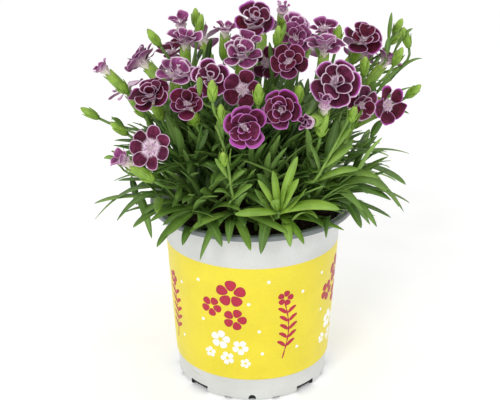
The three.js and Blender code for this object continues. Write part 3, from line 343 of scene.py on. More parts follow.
# ---------------- room between pieces
ROOM_SPAN = 264
ROOM_MIDDLE = np.array((130, 130, 10))
room = np.zeros((ROOM_SPAN,) * 3, np.int16)
SHARED = -1
AROUND = np.array([(i, j, k) for i in (-1, 0, 1) for j in (-1, 0, 1) for k in (-1, 0, 1)])


def cells_of(points):
    return np.clip(np.floor(np.asarray(points) / CELL).astype(int) + ROOM_MIDDLE, 1, ROOM_SPAN - 2)


def is_free(points, *owners):
    cells = cells_of(points)
    held = room[cells[:, 0], cells[:, 1], cells[:, 2]]
    return bool(np.isin(held, (0,) + owners).all())


def take(points, owner):
    """Marks the room round points as taken by their owner."""
    if len(points) == 0:
        return
    cells = (cells_of(points)[:, None] + AROUND[None]).reshape(-1, 3)
    flat = np.unique(np.ravel_multi_index(cells.T, room.shape))
    held = room.reshape(-1)
    now = held[flat]
    held[flat] = np.where((now == 0) | (now == owner), owner, SHARED)


def shoot_owner(number):
    return number + 1


def bloom_owner(number):
    return 101 + number


def leaves_owner(number):
    return 201 + number


def is_above_pot(points):
    radius = np.hypot(points[:, 0], points[:, 1])
    least = np.where(radius > POT.lip_radius + CLEAR.rim, POT.height - CLEAR.hang, np.where(
        radius > POT.wall_top_radius - CLEAR.inside, POT.height + CLEAR.rim,
        SOIL.level + SOIL.mound + CLEAR.soil))
    return bool((points[:, 2] > least).all())


def rod_samples(start, end, radius):
    side, up = across_of(unit(end - start))
    count = max(1, ceil(length_of(start - end) / SPACING))
    middle = start + (end - start) * (np.arange(count + 1) / count)[:, None]
    return np.vstack([middle + side * (a * radius) + up * (b * radius)
                      for a, b in ((1, 0), (0, 1), (-1, 0), (0, -1))])


# ---------------- petals
def bloom_frame(bloom, slide=0.0):
    x, y, z, azimuth, elevation = bloom[:5]
    axis = facing(azimuth, elevation)
    side, up = across_of(axis)
    return dict(place=vec(x, y, z) + SLOPE * slide, axis=axis, side=side, up=up)


def petals_of(bloom, number):
    """The outer and inner petals of a bloom, each with its angle, lift and length."""
    width, outer_count, inner_count, lift = bloom[5:]
    random = random_from(PETALS_SEED * (number + 1))
    turn = random() * 360
    step = 360 / outer_count
    reach = width / 2 - PETAL["start"]
    petals = []
    for i in range(outer_count):
        petals.append(dict(
            PETAL, base=0, kind="outer",
            angle=turn + step * i + spread(random, 4),
            length=reach * (1 + spread(random, 0.05)) / cos(radians(lift * 0.7)),
            ratio=PETAL["ratio"] * cos(radians(lift)) * 5 / outer_count,
            lift=lift + PETAL["open"] + spread(random, 5),
            bend=PETAL["bend"] + spread(random, 8)))
    for i in range(inner_count):
        petals.append(dict(
            PETAL, kind="inner", start=INNER.start, base=INNER.base, broad=INNER.broad,
            ratio=INNER.ratio,
            angle=turn + step * (i - 0.5) + spread(random, 6),
            length=reach * INNER.reach * (1 + spread(random, 0.07)),
            lift=lift + PETAL["open"] + INNER.lift + spread(random, 5),
            bend=INNER.bend + spread(random, 6)))
    return petals


def petal_half_width(petal, s):
    rise = np.minimum(1, s / petal["broad"])
    fall = np.maximum(0, (s - petal["broad"]) / (1 - petal["broad"]))
    swell = np.sin(rise * pi / 2) ** 1.2
    return petal["length"] * petal["ratio"] / 2 * swell * np.sqrt(1 - np.minimum(1, fall ** 2.6))


def petal_points(place_frame, petal, s, reach, lifted=0.0):
    """Points of a petal at shares s from throat to tip, and reach across in millimetres."""
    out, rise, slope = arc(petal["length"], petal["lift"], petal["bend"], s)
    turn, twist = radians(petal["angle"]), radians(petal["twist"])
    side, up, axis = place_frame["side"], place_frame["up"], place_frame["axis"]
    radial = side * cos(turn) + up * sin(turn)
    along = side * -sin(turn) + up * cos(turn)
    normal = np.cos(slope)[:, None] * axis - np.sin(slope)[:, None] * radial
    half = petal["length"] * petal["ratio"] / 2
    cup = reach * reach / half * petal["cup"]
    return (place_frame["place"] + (petal["start"] + out)[:, None] * radial
            + (rise + petal["base"])[:, None] * axis
            + (reach * cos(twist))[:, None] * along
            + (reach * sin(twist) + cup + lifted)[:, None] * normal)


def petal_samples(place_frame, petal):
    """Points on a petal, to see what room it takes."""
    rows = ceil(petal["length"] / SPACING)
    s, reach = [], []
    for i in range(PETAL["samples_from"], rows + 1):
        half = float(petal_half_width(petal, i / rows))
        columns = max(1, ceil(half / SPACING))
        for j in range(-columns, columns + 1):
            s.append(i / rows)
            reach.append(j / columns * half)
    return petal_points(place_frame, petal, np.array(s), np.array(reach))


def bloom_samples(place_frame, petals):
    return np.vstack([petal_samples(place_frame, petal) for petal in petals])


# ---------------- stems
def calyx_foot(place_frame):
    return place_frame["place"] + place_frame["axis"] * (-CLAW - CALYX.length)


def calyx_samples(place_frame):
    foot = calyx_foot(place_frame)
    return rod_samples(foot, foot + place_frame["axis"] * (CALYX.length - 2), CALYX.belly)


def bud_frame(place, slide=0.0):
    x, y, z, azimuth, elevation = place
    axis = facing(azimuth, elevation)
    tip = vec(x, y, z) + SLOPE * slide
    return dict(tip=tip, axis=axis, foot=tip + axis * -BUD.length)


def bezier(ends, t):
    a, b, c, d = ends
    k = 1 - t
    return a * (k * k * k) + b * (3 * k * k * t) + c * (3 * k * t * t) + d * (t * t * t)


def bent_ends(start, leave, end, arrive, bend):
    reach = length_of(start - end) * bend
    return start, start + leave * reach, end + arrive * -reach, end


def path_of(ends, steps):
    return [bezier(ends, i / steps) for i in range(steps + 1)]


def path_samples(path, radius):
    return np.vstack([rod_samples(a, b, radius) for a, b in zip(path, path[1:])])


def on_path(path, share):
    step = min(len(path) - 2, floor(share * (len(path) - 1)))
    part = share * (len(path) - 1) - step
    return path[step] + (path[step + 1] - path[step]) * part, unit(path[step + 1] - path[step])


def clear_path(owner, random, start_at, leave, end_foot, end_axis, steps, radius):
    """A stem's way that keeps clear of the others, tried more and more wildly."""
    for i in range(STEM_TRIES):
        swing = i * STEM_SWING.grow
        start = start_at(spread(random, swing * STEM_SWING.start))
        away = leave(start) + vec(1, 0, 0) * spread(random, swing)
        away = unit(away + vec(0, 1, 0) * spread(random, swing))
        bend = STEM.bend + spread(random, swing * STEM_SWING.bend)
        ends = bent_ends(start[0], away, end_foot, end_axis, bend)
        path = path_of(ends, steps)
        if is_free(path_samples(path, radius), owner):
            break
    take(path_samples(path, radius), owner)
    return ends, path


def stems_of(number):
    """A shoot's stems: the main one, a twig to each further bloom or bud, and tufts."""
    root, bloom_numbers, _, tufts = SHOOTS[number]
    owner = shoot_owner(number)
    random = random_from(STEMS_SEED * (number + 1))
    hole = vec(*root, SOIL.hole_bottom + GAP)
    neck = vec(*root, SOIL.level + SOIL.mound + 1)
    tops = [(calyx_foot(bloom_frames[n - 1]), bloom_frames[n - 1]["axis"], "bloom") for n in bloom_numbers]
    tops += [(bud["foot"], bud["axis"], "bud") for bud in buds_of[number]]
    foot, axis, _ = tops[0]
    ends, path = clear_path(owner, random, lambda shift: (neck, UP), lambda start: UP.copy(), foot, axis,
                            STEM.main_steps, STEM.radius)
    main = [hole] + path
    stems = [dict(path=main, ends=ends, kind="main", radius=STEM.radius)]
    for i, (foot, axis, _) in enumerate(tops[1:]):
        share = BRANCH.twig_from + i * BRANCH.twig_step
        ends, path = clear_path(
            owner, random, lambda shift: on_path(main, share + shift),
            lambda start: start[1] + unit(foot - start[0]), foot, axis, STEM.twig_steps, STEM.twig)
        stems.append(dict(path=path, ends=ends, kind="twig", radius=STEM.twig))
    for i, crown in enumerate(tufts):
        foot = vec(*crown)
        share = BRANCH.tuft_from + i * BRANCH.tuft_step
        axis = unit(foot - on_path(main, max(BRANCH.tuft_least, share))[0])
        ends, path = clear_path(
            owner, random, lambda shift: on_path(main, max(BRANCH.tuft_least, share + shift)),
            lambda start: axis + UP * BRANCH.tuft_rise, foot, axis, STEM.twig_steps, STEM.twig)
        stems.append(dict(path=path, ends=ends, kind="tuft", radius=STEM.twig))
    return stems


def smooth_point(stem, share):
    """The stem's own smooth curve at a share of its path."""
    if stem["kind"] != "main":
        return bezier(stem["ends"], share)
    steps = len(stem["path"]) - 1
    if share * steps < 1:
        return stem["path"][0] + (stem["path"][1] - stem["path"][0]) * (share * steps)
    return bezier(stem["ends"], (share * steps - 1) / (steps - 1))


# ---------------- leaves
def leaf_points(leaf, s, reach, lifted=0.0):
    """Points of a leaf at shares s from foot to tip, and reach across in millimetres."""
    out, rise, slope = arc(leaf["length"], leaf["lift"], leaf["bend"], s)
    ahead = vec(cos(leaf["azimuth"]), sin(leaf["azimuth"]), 0)
    side = vec(-sin(leaf["azimuth"]), cos(leaf["azimuth"]), 0)
    return (leaf["foot"] + (out - lifted * np.sin(slope))[:, None] * ahead
            + (rise + lifted * np.cos(slope))[:, None] * UP
            + (reach + leaf["sway"] * leaf["length"] * s * s)[:, None] * side)


def leaf_half_width(leaf, s):
    rise = np.minimum(1, s / LEAF.wide)
    fall = np.maximum(0, (s - LEAF.wide) / (1 - LEAF.wide))
    root = LEAF.root
    return leaf["width"] / 2 * (root + (1 - root) * np.sin(rise * pi / 2)) * (1 - fall ** 2.2)


def leaf_samples(leaf):
    """Points on a leaf, to see what room it takes."""
    stations = (0, LEAF.wide, LEAF.bend_at, 1) if leaf["length"] > LEAF.long else (
        0, LEAF.short_wide, 1)
    across = np.array((-1, -0.5, 0, 0.5, 1.0))
    halves = leaf_half_width(leaf, np.array(stations))
    samples = []
    for i, (s0, s1) in enumerate(zip(stations, stations[1:])):
        count = ceil(leaf["length"] * (s1 - s0) / SPACING)
        low = leaf_points(leaf, np.full(5, float(s0)), across * (0 if i == 0 else halves[i]))
        high = leaf_points(leaf, np.full(5, float(s1)), across * (0 if s1 == 1 else halves[i + 1]))
        part = (np.arange(count + 1) / count)[:, None, None]
        samples.append((low + (high - low) * part).reshape(-1, 3))
    return np.vstack(samples)


def leaves_of(stem, number, random):
    """Crossed pairs of leaves up a stem."""
    plan = FOLIAGE[stem["kind"]]
    pairs, first, last = plan[:3]
    leaves = []
    turn = random() * 180
    for pair in range(pairs):
        share = first + (last - first) * pair / max(1, pairs - 1)
        for half in range(2):
            angle = turn + pair * 90 + half * 180
            leaf = clear_leaf(number, random, plan, on_path(stem["path"], share), angle, share)
            if leaf:
                leaf["foot"] = smooth_point(stem, share)
                leaves.append(leaf)
    return leaves


def clear_leaf(number, random, plan, start, angle, share):
    """A leaf that keeps clear of the rest, tried more and more wildly; None if there is no room."""
    at, along = start
    longest, shortest, width, opening, droop, least = plan[3:]
    side, up = across_of(along)
    size = longest + (shortest - longest) * share
    own, own_leaves = shoot_owner(number), leaves_owner(number)
    for i in range(LEAF_TRIES):
        wild = i / LEAF_TRIES
        turn = radians(angle + spread(random, 12 + 90 * wild))
        open_ = radians(opening + spread(random, 10))
        aim = along * cos(open_) + side * (sin(open_) * cos(turn))
        aim = aim + up * (sin(open_) * sin(turn))
        rise = degrees(asin(max(-1, min(1, aim[2])))) + spread(random, 20 * wild)
        leaf = dict(
            foot=at, azimuth=atan2(aim[1], aim[0]), lift=max(least, rise),
            bend=droop + spread(random, 12), length=size * (1 + spread(random, 0.14)) * (1 - 0.4 * wild),
            width=width * (1 + spread(random, 0.12)), sway=spread(random, 0.1 + 0.15 * wild))
        samples = leaf_samples(leaf)
        near = np.sqrt(((samples - at) ** 2).sum(1)) < LEAF.crowded
        if (is_above_pot(samples) and is_free(samples[near], own, own_leaves)
                and is_free(samples[~near], own)):
            take(samples[near], own)
            take(samples[~near], own_leaves)
            return leaf
    return None


# ---------------- places
shoot_of_bloom = [next(n for n, shoot in enumerate(SHOOTS) if i + 1 in shoot[1])
                  for i in range(len(BLOOMS))]
bloom_frames = []
bloom_petals = []
for index, bloom in enumerate(BLOOMS):
    petals = petals_of(bloom, index)
    for slide in SLIDES:
        placed = bloom_frame(bloom, slide)
        if (is_free(bloom_samples(placed, petals), bloom_owner(index))
                and is_free(calyx_samples(placed), shoot_owner(shoot_of_bloom[index]))):
            break
    else:
        placed = bloom_frame(bloom)
    take(bloom_samples(placed, petals), bloom_owner(index))
    take(calyx_samples(placed), shoot_owner(shoot_of_bloom[index]))
    bloom_frames.append(placed)
    bloom_petals.append(petals)

buds_of = []
for index, shoot in enumerate(SHOOTS):
    buds_of.append([])
    for place in shoot[2]:
        for slide in SLIDES:
            bud = bud_frame(place, slide)
            if is_free(rod_samples(bud["foot"], bud["tip"], BUD.radius), shoot_owner(index)):
                break
        else:
            bud = bud_frame(place)
        take(rod_samples(bud["foot"], bud["tip"], BUD.radius), shoot_owner(index))
        buds_of[-1].append(bud)

stems_of_shoots = [stems_of(index) for index in range(len(SHOOTS))]
leaves_of_shoots = []
for index in range(len(SHOOTS)):
    draw = random_from(LEAVES_SEED * (index + 1))
    leaves_of_shoots.append([leaf for stem in stems_of_shoots[index]
                             for leaf in leaves_of(stem, index, draw)])


# ---------------- blanks, modelled once
def fresh(primitive, **size):
    bpy.ops.object.select_all(action="DESELECT")
    primitive(**size)
    bpy.ops.object.mode_set(mode="EDIT")
    bpy.ops.mesh.select_mode(type="FACE")
    bpy.ops.mesh.select_all(action="SELECT")
    return bpy.context.object


def starts_of(sizes):
    """The first corner of each face."""
    return np.concatenate([[0], np.cumsum(sizes)[:-1]])


def shape_of(obj):
    """The points and faces of a blank, which is then put away."""
    bpy.ops.mesh.select_all(action="SELECT")
    bpy.ops.mesh.normals_make_consistent(inside=False)
    bpy.ops.object.mode_set(mode="OBJECT")
    mesh = obj.data
    points = np.empty(len(mesh.vertices) * 3)
    mesh.vertices.foreach_get("co", points)
    loops = np.empty(len(mesh.loops), np.int64)
    mesh.loops.foreach_get("vertex_index", loops)
    sizes = np.empty(len(mesh.polygons), np.int64)
    mesh.polygons.foreach_get("loop_total", sizes)
    points = points.reshape(-1, 3)
    middles = np.add.reduceat(points[loops], starts_of(sizes)) / sizes[:, None]
    bpy.data.objects.remove(obj)
    bpy.data.meshes.remove(mesh)
    return dict(points=points, loops=loops, sizes=sizes, middles=middles)


def give_back():
    """Draws the marked faces of a sheet down, so that it has a back."""
    bpy.ops.mesh.extrude_region_move(TRANSFORM_OT_translate={"value": (0, 0, SHEET.depth)})


def round_blank(vertices, insets):
    """A round sheet of rings."""
    blank = fresh(bpy.ops.mesh.primitive_circle_add, vertices=vertices, radius=1, fill_type="NGON")
    for step in insets:
        bpy.ops.mesh.inset(thickness=step)
    bpy.ops.mesh.poke()
    bpy.ops.mesh.select_all(action="SELECT")
    give_back()
    return shape_of(blank)


def leaf_blank(rows):
    """A strip with a rib, from 0 at the foot to 1 at the tip, with closer rows towards the tip."""
    blank = fresh(bpy.ops.mesh.primitive_grid_add, x_subdivisions=2, y_subdivisions=rows, size=2)
    give_back()
    shape = shape_of(blank)
    shape["points"][:, 1] = 1 - ((1 - shape["points"][:, 1]) / 2) ** SHEET.closer_tip
    return shape


def is_back_point(z):
    return z < SHEET.back_points


def kinds_of(blank, face, back):
    """The finish of each face of a sheet."""
    return np.where(blank["middles"][:, 2] < SHEET.back_faces, back, face)


def tube_blank(sides, steps):
    """A rod drawn up step by step; each ring's height is its number."""
    blank = fresh(bpy.ops.mesh.primitive_circle_add, vertices=sides, radius=1, fill_type="NGON")
    for _ in range(steps):
        bpy.ops.mesh.extrude_region_move(TRANSFORM_OT_translate={"value": (0, 0, 1)})
    return shape_of(blank)


SEAM_SPAN = 0.6


class Piece:
    """Copies of blanks gathered into one mesh, with their values and kinds of finish."""

    def __init__(self, name, values):
        self.name, self.names = name, values
        self.points, self.loops, self.sizes, self.kinds, self.uvs = [], [], [], [], []
        self.values = {value: [] for value in values}
        self.count = 0

    def add(self, shape, points, uv, kinds, **values):
        self.points.append(points)
        self.loops.append(shape["loops"] + self.count)
        self.sizes.append(shape["sizes"])
        self.kinds.append(np.broadcast_to(kinds, len(shape["sizes"])))
        self.uvs.append(uv)
        for name in self.names:
            self.values[name].append(np.broadcast_to(np.asarray(values.get(name, 0.0), float), len(points)))
        self.count += len(points)

    def finish(self, materials):
        points = np.vstack(self.points) * MM
        loops, sizes = np.concatenate(self.loops), np.concatenate(self.sizes)
        starts = starts_of(sizes)
        mesh = bpy.data.meshes.new(self.name)
        mesh.vertices.add(len(points))
        mesh.vertices.foreach_set("co", points.ravel())
        mesh.loops.add(len(loops))
        mesh.loops.foreach_set("vertex_index", loops)
        mesh.polygons.add(len(sizes))
        mesh.polygons.foreach_set("loop_start", starts)
        mesh.polygons.foreach_set("loop_total", sizes)
        mesh.update(calc_edges=True)
        for material in materials:
            mesh.materials.append(material)
        mesh.polygons.foreach_set("material_index", np.concatenate(self.kinds).astype(np.int32))
        mesh.polygons.foreach_set("use_smooth", np.ones(len(sizes), bool))
        corner_uv = np.vstack(self.uvs)[loops]
        # A face over the seam takes coordinates from one side of it.
        span = np.maximum.reduceat(corner_uv[:, 0], starts) - np.minimum.reduceat(corner_uv[:, 0], starts)
        corner_uv[np.repeat(span > SEAM_SPAN, sizes) & (corner_uv[:, 0] < 0.5), 0] += 1
        mesh.uv_layers.new(name="along").data.foreach_set("uv", corner_uv.ravel())
        for name in self.names:
            attribute = mesh.attributes.new(name, "FLOAT", "POINT")
            attribute.data.foreach_set("value", np.concatenate(self.values[name]).astype(np.float32))
        obj = bpy.data.objects.new(self.name, mesh)
        bpy.context.scene.collection.objects.link(obj)
        return obj


# ---------------- finishes
def linear(code):
    """A linear colour from six hexadecimal digits."""
    parts = [int(code[i:i + 2], 16) / 255 for i in (0, 2, 4)]
    return tuple(p / 12.92 if p <= 0.04045 else ((p + 0.055) / 1.055) ** 2.4 for p in parts) + (1.0,)


class Nodes:
    """Short words for the nodes of one tree."""

    def __init__(self, tree):
        self.tree = tree

    def node(self, kind, **settings):
        node = self.tree.nodes.new(kind)
        for name, value in settings.items():
            setattr(node, name, value)
        return node

    def feed(self, item, socket):
        """Sets a socket to a colour code or a number, or joins another socket to it."""
        if isinstance(item, str):
            socket.default_value = linear(item)
        elif isinstance(item, (int, float, tuple)):
            socket.default_value = item
        else:
            self.tree.links.new(item, socket)

    def value(self, name):
        return self.node("ShaderNodeAttribute", attribute_name=name).outputs["Fac"]

    def place(self, uv=False):
        return self.node("ShaderNodeTexCoord").outputs["UV" if uv else "Object"]

    def split(self, vector):
        node = self.node("ShaderNodeSeparateXYZ")
        self.feed(vector, node.inputs[0])
        return node.outputs

    def vector(self, x, y, z):
        node = self.node("ShaderNodeCombineXYZ")
        for item, socket in zip((x, y, z), node.inputs):
            self.feed(item, socket)
        return node.outputs[0]

    def stretch(self, vector, scale):
        node = self.node("ShaderNodeMapping")
        node.inputs["Scale"].default_value = scale
        self.feed(vector, node.inputs["Vector"])
        return node.outputs[0]

    def noise(self, vector, scale, detail=3.0, rough=0.5):
        node = self.node("ShaderNodeTexNoise")
        for name, item in (("Vector", vector), ("Scale", scale), ("Detail", detail), ("Roughness", rough)):
            self.feed(item, node.inputs[name])
        return node.outputs["Fac"]

    def math(self, operation, a, b=0.0, c=0.0):
        node = self.node("ShaderNodeMath", operation=operation)
        for item, socket in zip((a, b, c), node.inputs):
            self.feed(item, socket)
        return node.outputs[0]

    def fade(self, value, start, end, low=0.0, high=1.0):
        """Goes softly from low to high while the value goes from start to end."""
        node = self.node("ShaderNodeMapRange", interpolation_type="SMOOTHSTEP")
        for item, socket in zip((value, start, end, low, high), node.inputs):
            self.feed(item, socket)
        return node.outputs[0]

    def ramp(self, factor, stops):
        node = self.node("ShaderNodeValToRGB")
        elements = node.color_ramp.elements
        while len(elements) < len(stops):
            elements.new(0.5)
        for element, (at, colour) in zip(elements, stops):
            element.position = at
            element.color = linear(colour)
        self.feed(factor, node.inputs[0])
        return node.outputs["Color"]

    def times(self, a, b):
        return self.math("MULTIPLY", a, b)

    def mix(self, factor, a, b, blend="MIX"):
        node = self.node("ShaderNodeMix", data_type="RGBA", blend_type=blend)
        for item, number in ((factor, 0), (a, 6), (b, 7)):
            self.feed(item, node.inputs[number])
        return node.outputs[2]


SOCKETS = dict(colour="NodeSocketColor", number="NodeSocketFloat")


class Effect(Nodes):
    """A shader node group with named inputs and outputs, shared by several finishes."""

    def __init__(self, name, given, made):
        super().__init__(bpy.data.node_groups.new(name, "ShaderNodeTree"))
        for label, item in given.items():
            kind = SOCKETS["colour" if isinstance(item, str) else "number"]
            socket = self.tree.interface.new_socket(name=label, in_out="INPUT", socket_type=kind)
            socket.default_value = linear(item) if isinstance(item, str) else item
        for label, kind in made.items():
            self.tree.interface.new_socket(name=label, in_out="OUTPUT", socket_type=SOCKETS[kind])
        self.given = self.node("NodeGroupInput").outputs
        self.made = self.node("NodeGroupOutput").inputs


def fine_streaks():
    """Fine lines along a petal, leaf or stem that differ from one to the next."""
    e = Effect("fine_streaks", {"Colour": "ffffff", "Shade": "808080", "Amount": 0.3, "Across": 30.0,
                                "Along": 2.2}, {"Colour": "colour", "Streaks": "number"})
    u, v, _ = e.split(e.place(uv=True))
    at = e.vector(e.times(u, e.given["Across"]), e.times(v, e.given["Along"]),
                  e.times(e.value("seed"), 40.0))
    streaks = e.noise(at, 1.0, 3.0, 0.6)
    shaded = e.times(e.fade(streaks, 0.3, 0.7, 1.0, 0.0), e.given["Amount"])
    e.feed(e.mix(shaded, e.given["Colour"], e.mix(1.0, e.given["Colour"], e.given["Shade"], "MULTIPLY")),
           e.made["Colour"])
    e.feed(streaks, e.made["Streaks"])
    return e.tree


def soft_mottling():
    """Cloudy darker patches, or a fine grain where the scale is large."""
    e = Effect("soft_mottling", {"Colour": "ffffff", "Shade": "808080", "Amount": 0.3, "Scale": 300.0,
                                 "Detail": 3.0}, {"Colour": "colour", "Mottling": "number"})
    mottling = e.noise(e.place(), e.given["Scale"], e.given["Detail"], 0.55)
    shaded = e.times(e.fade(mottling, 0.34, 0.66, 1.0, 0.0), e.given["Amount"])
    e.feed(e.mix(shaded, e.given["Colour"], e.mix(1.0, e.given["Colour"], e.given["Shade"], "MULTIPLY")),
           e.made["Colour"])
    e.feed(mottling, e.made["Mottling"])
    return e.tree


def petal_margin():
    """A bright band inside the edge of a petal, broadest at its tip, and a thin pale line on the edge."""
    e = Effect("petal_margin", {"Colour": "541428", "Bright": "a8439f", "Line": "d8a8cc", "Band": 1.0,
                                "Width": 0.22, "Wander": 0.5}, {"Colour": "colour", "Band": "number"})
    u, v, _ = e.split(e.place(uv=True))
    wavy = e.noise(e.vector(e.times(u, 9.0), e.times(v, 7.0),
                            e.times(e.value("seed"), 60.0)), 1.0, 2.0, 0.6)
    edge = e.value("edge")
    inward = e.times(e.math("SUBTRACT", wavy, 0.5), e.given["Wander"])
    inward = e.math("ADD", edge, inward)
    reach = e.times(e.given["Band"], e.fade(v, 0.4, 0.95, 0.3, 1.0))
    band = e.fade(inward, e.times(reach, 0.55), e.times(reach, 1.25), 1.0, 0.0)
    line = e.fade(e.value("edge"), e.times(e.given["Width"], 0.5),
                  e.times(e.given["Width"], 1.5), 1.0, 0.0)
    line = e.times(line, e.fade(wavy, 0.25, 0.75, 0.45, 1.0))
    banded = e.mix(band, e.given["Colour"], e.given["Bright"])
    e.feed(e.mix(line, banded, e.given["Line"]), e.made["Colour"])
    e.feed(band, e.made["Band"])
    return e.tree


STREAKS, MOTTLING, MARGIN = fine_streaks(), soft_mottling(), petal_margin()


class Finish(Nodes):
    """A material of one shader."""

    def __init__(self, name, roughness, specular=0.5):
        self.material = bpy.data.materials.new(name)
        self.material.use_nodes = True
        super().__init__(self.material.node_tree)
        self.shader = self.tree.nodes["Principled BSDF"]
        self.shader.inputs["Roughness"].default_value = roughness
        self.shader.inputs["Specular IOR Level"].default_value = specular

    def use(self, effect, **given):
        """Places a shared effect with its own values."""
        node = self.node("ShaderNodeGroup", node_tree=effect)
        for name, item in given.items():
            self.feed(item, node.inputs[name])
        return node.outputs

    def colour(self, source):
        self.feed(source, self.shader.inputs["Base Color"])

    def rough(self, factor, low, high):
        self.feed(self.fade(factor, 0.3, 0.7, low, high), self.shader.inputs["Roughness"])

    def bump(self, height, strength, distance):
        node = self.node("ShaderNodeBump")
        node.inputs["Strength"].default_value = strength
        node.inputs["Distance"].default_value = distance
        self.feed(height, node.inputs["Height"])
        self.feed(node.outputs[0], self.shader.inputs["Normal"])


def petal_face_finish():
    """Velvet wine petals, pale at the throat, with a violet margin; some are mauve all over, partly their own
    colour and partly painted sheen of velvet seen edge on.
    """
    f = Finish("petal_face", 0.66, 0.12)
    share = f.split(f.place(uv=True))[1]
    tone = f.value("tone")
    wine = f.ramp(share, ((0.2, "3a0e1e"), (0.55, "52142c"), (0.9, "641c38")))
    wine = f.mix(f.times(f.value("seed"), 0.6), wine, "781a34")
    # The mauve ramp is partly the petals' own colour and partly painted sheen where a bloom is seen edge on.
    mauve = f.ramp(share, ((0.3, "a24a84"), (0.7, "b05a9c"), (1.0, "cc86c0")))
    face = f.mix(tone, wine, mauve)
    patched = f.use(MOTTLING, Colour=face, Shade="6c5058", Amount=0.62, Scale=330.0, Detail=3.0)
    grained = f.use(MOTTLING, Colour=patched["Colour"], Shade="785860", Amount=0.4, Scale=1500.0,
                    Detail=2.0)
    lined = f.use(STREAKS, Colour=grained["Colour"], Shade="a06878", Amount=0.45, Across=24.0, Along=2.2)
    edged = f.use(MARGIN, Colour=lined["Colour"], Bright=f.mix(tone, "9a2c94", "d49ccc"),
                  Line=f.mix(f.value("line"), "c890bc", "ecdae6"), Band=f.value("band"),
                  Width=f.math("MULTIPLY_ADD", f.value("line"), 0.42, 0.24), Wander=0.5)
    throat = f.math("ADD", share, f.times(f.math("SUBTRACT", lined["Streaks"], 0.5), 0.36))
    throat = f.math("DIVIDE", throat, f.value("pale"))
    f.colour(f.mix(f.fade(throat, 0.5, 1.05, 1.0, 0.0), edged["Colour"], "e0c8da"))
    f.rough(grained["Mottling"], 0.55, 0.75)
    f.bump(lined["Streaks"], 0.3, 0.0004)
    return f.material


def petal_back_finish():
    """The mauve backs of the petals, paler to the foot, with fine veins."""
    f = Finish("petal_back", 0.6, 0.2)
    share = f.split(f.place(uv=True))[1]
    body = f.ramp(share, ((0.1, "f4ece8"), (0.36, "dcbad0"), (0.66, "b474a6"), (1.0, "a2548e")))
    lined = f.use(STREAKS, Colour=body, Shade="9a7090", Amount=0.55, Across=30.0, Along=2.0)
    edged = f.use(MARGIN, Colour=lined["Colour"], Bright="b86cb0", Line="ecd0e4", Band=0.6, Width=0.2,
                  Wander=0.3)
    f.colour(edged["Colour"])
    f.rough(lined["Streaks"], 0.5, 0.7)
    f.bump(lined["Streaks"], 0.25, 0.0003)
    return f.material


def claw_finish():
    """The pale funnel of claws between calyx and petals."""
    f = Finish("petal_claw", 0.55, 0.3)
    body = f.ramp(f.split(f.place(uv=True))[1], ((0.0, "dbe4b4"), (0.5, "ece2dc"), (1.0, "d6b6cc")))
    lined = f.use(STREAKS, Colour=body, Shade="a88ca0", Amount=0.55, Across=22.0, Along=1.5)
    f.colour(lined["Colour"])
    f.rough(lined["Streaks"], 0.45, 0.65)
    f.bump(lined["Streaks"], 0.3, 0.0003)
    return f.material


def stamen_finish():
    """Pale stalks with mauve tips."""
    f = Finish("stamen", 0.5, 0.3)
    body = f.ramp(f.split(f.place(uv=True))[1], ((0.0, "d4d8b8"), (0.7, "e0c4d8"), (0.9, "c090b8")))
    grained = f.use(MOTTLING, Colour=body, Shade="8c6c84", Amount=0.5, Scale=2500.0, Detail=2.0)
    f.colour(grained["Colour"])
    f.rough(grained["Mottling"], 0.4, 0.6)
    return f.material


def leaf_finish():
    """Narrow leaves: a paler rib and tip, darker when older and where painted shade lies deep in the bush,
    and yellow-green when young.
    """
    f = Finish("leaf_blade", 0.42, 0.42)
    across, share, _ = f.split(f.place(uv=True))
    tone, young = f.value("tone"), f.value("young")
    # The dark end of this ramp is partly older leaves and partly painted shade, as each leaf's tone carries
    # it.
    aged_and_shaded = f.ramp(tone, ((0.0, "2c482e"), (0.5, "466a34"), (1.0, "69903c")))
    fresh_green = f.ramp(tone, ((0.0, "8cb43a"), (1.0, "a8ca50")))
    body = f.mix(young, aged_and_shaded, fresh_green)
    body = f.mix(f.times(f.math("POWER", share, 2.0), 0.35), body, "88b24c")
    rib = f.fade(f.math("ABSOLUTE", f.math("SUBTRACT", across, 0.5)), 0.0, 0.11, 0.35, 0.0)
    body = f.mix(rib, body, "a2ca70")
    lined = f.use(STREAKS, Colour=body, Shade="8a9e84", Amount=0.4, Across=34.0, Along=2.5)
    patched = f.use(MOTTLING, Colour=lined["Colour"], Shade="74947c", Amount=0.35, Scale=90.0, Detail=2.0)
    f.colour(patched["Colour"])
    f.rough(patched["Mottling"], 0.34, 0.5)
    f.bump(lined["Streaks"], 0.3, 0.0004)
    return f.material


def under_leaf_finish():
    """Undersides of the leaves, duller and greyer."""
    f = Finish("leaf_underside", 0.55, 0.3)
    # The tone darkens the undersides with the same painted shade of the bush's depth.
    body = f.mix(f.value("young"), f.ramp(f.value("tone"), ((0.0, "5a7c36"), (1.0, "82a456"))), "a0c45e")
    lined = f.use(STREAKS, Colour=body, Shade="8a9e70", Amount=0.35, Across=30.0, Along=2.5)
    f.colour(lined["Colour"])
    f.rough(lined["Streaks"], 0.5, 0.65)
    f.bump(lined["Streaks"], 0.3, 0.0004)
    return f.material


def stem_finish():
    """Round green stems, paler when young."""
    f = Finish("stem", 0.45, 0.4)
    body = f.mix(f.value("young"), "628838", "a2c45c")
    patched = f.use(MOTTLING, Colour=body, Shade="7c8c5c", Amount=0.5, Scale=120.0, Detail=2.0)
    lined = f.use(STREAKS, Colour=patched["Colour"], Shade="80906a", Amount=0.35, Across=8.0, Along=30.0)
    f.colour(lined["Colour"])
    f.rough(patched["Mottling"], 0.4, 0.55)
    f.bump(lined["Streaks"], 0.2, 0.0003)
    return f.material


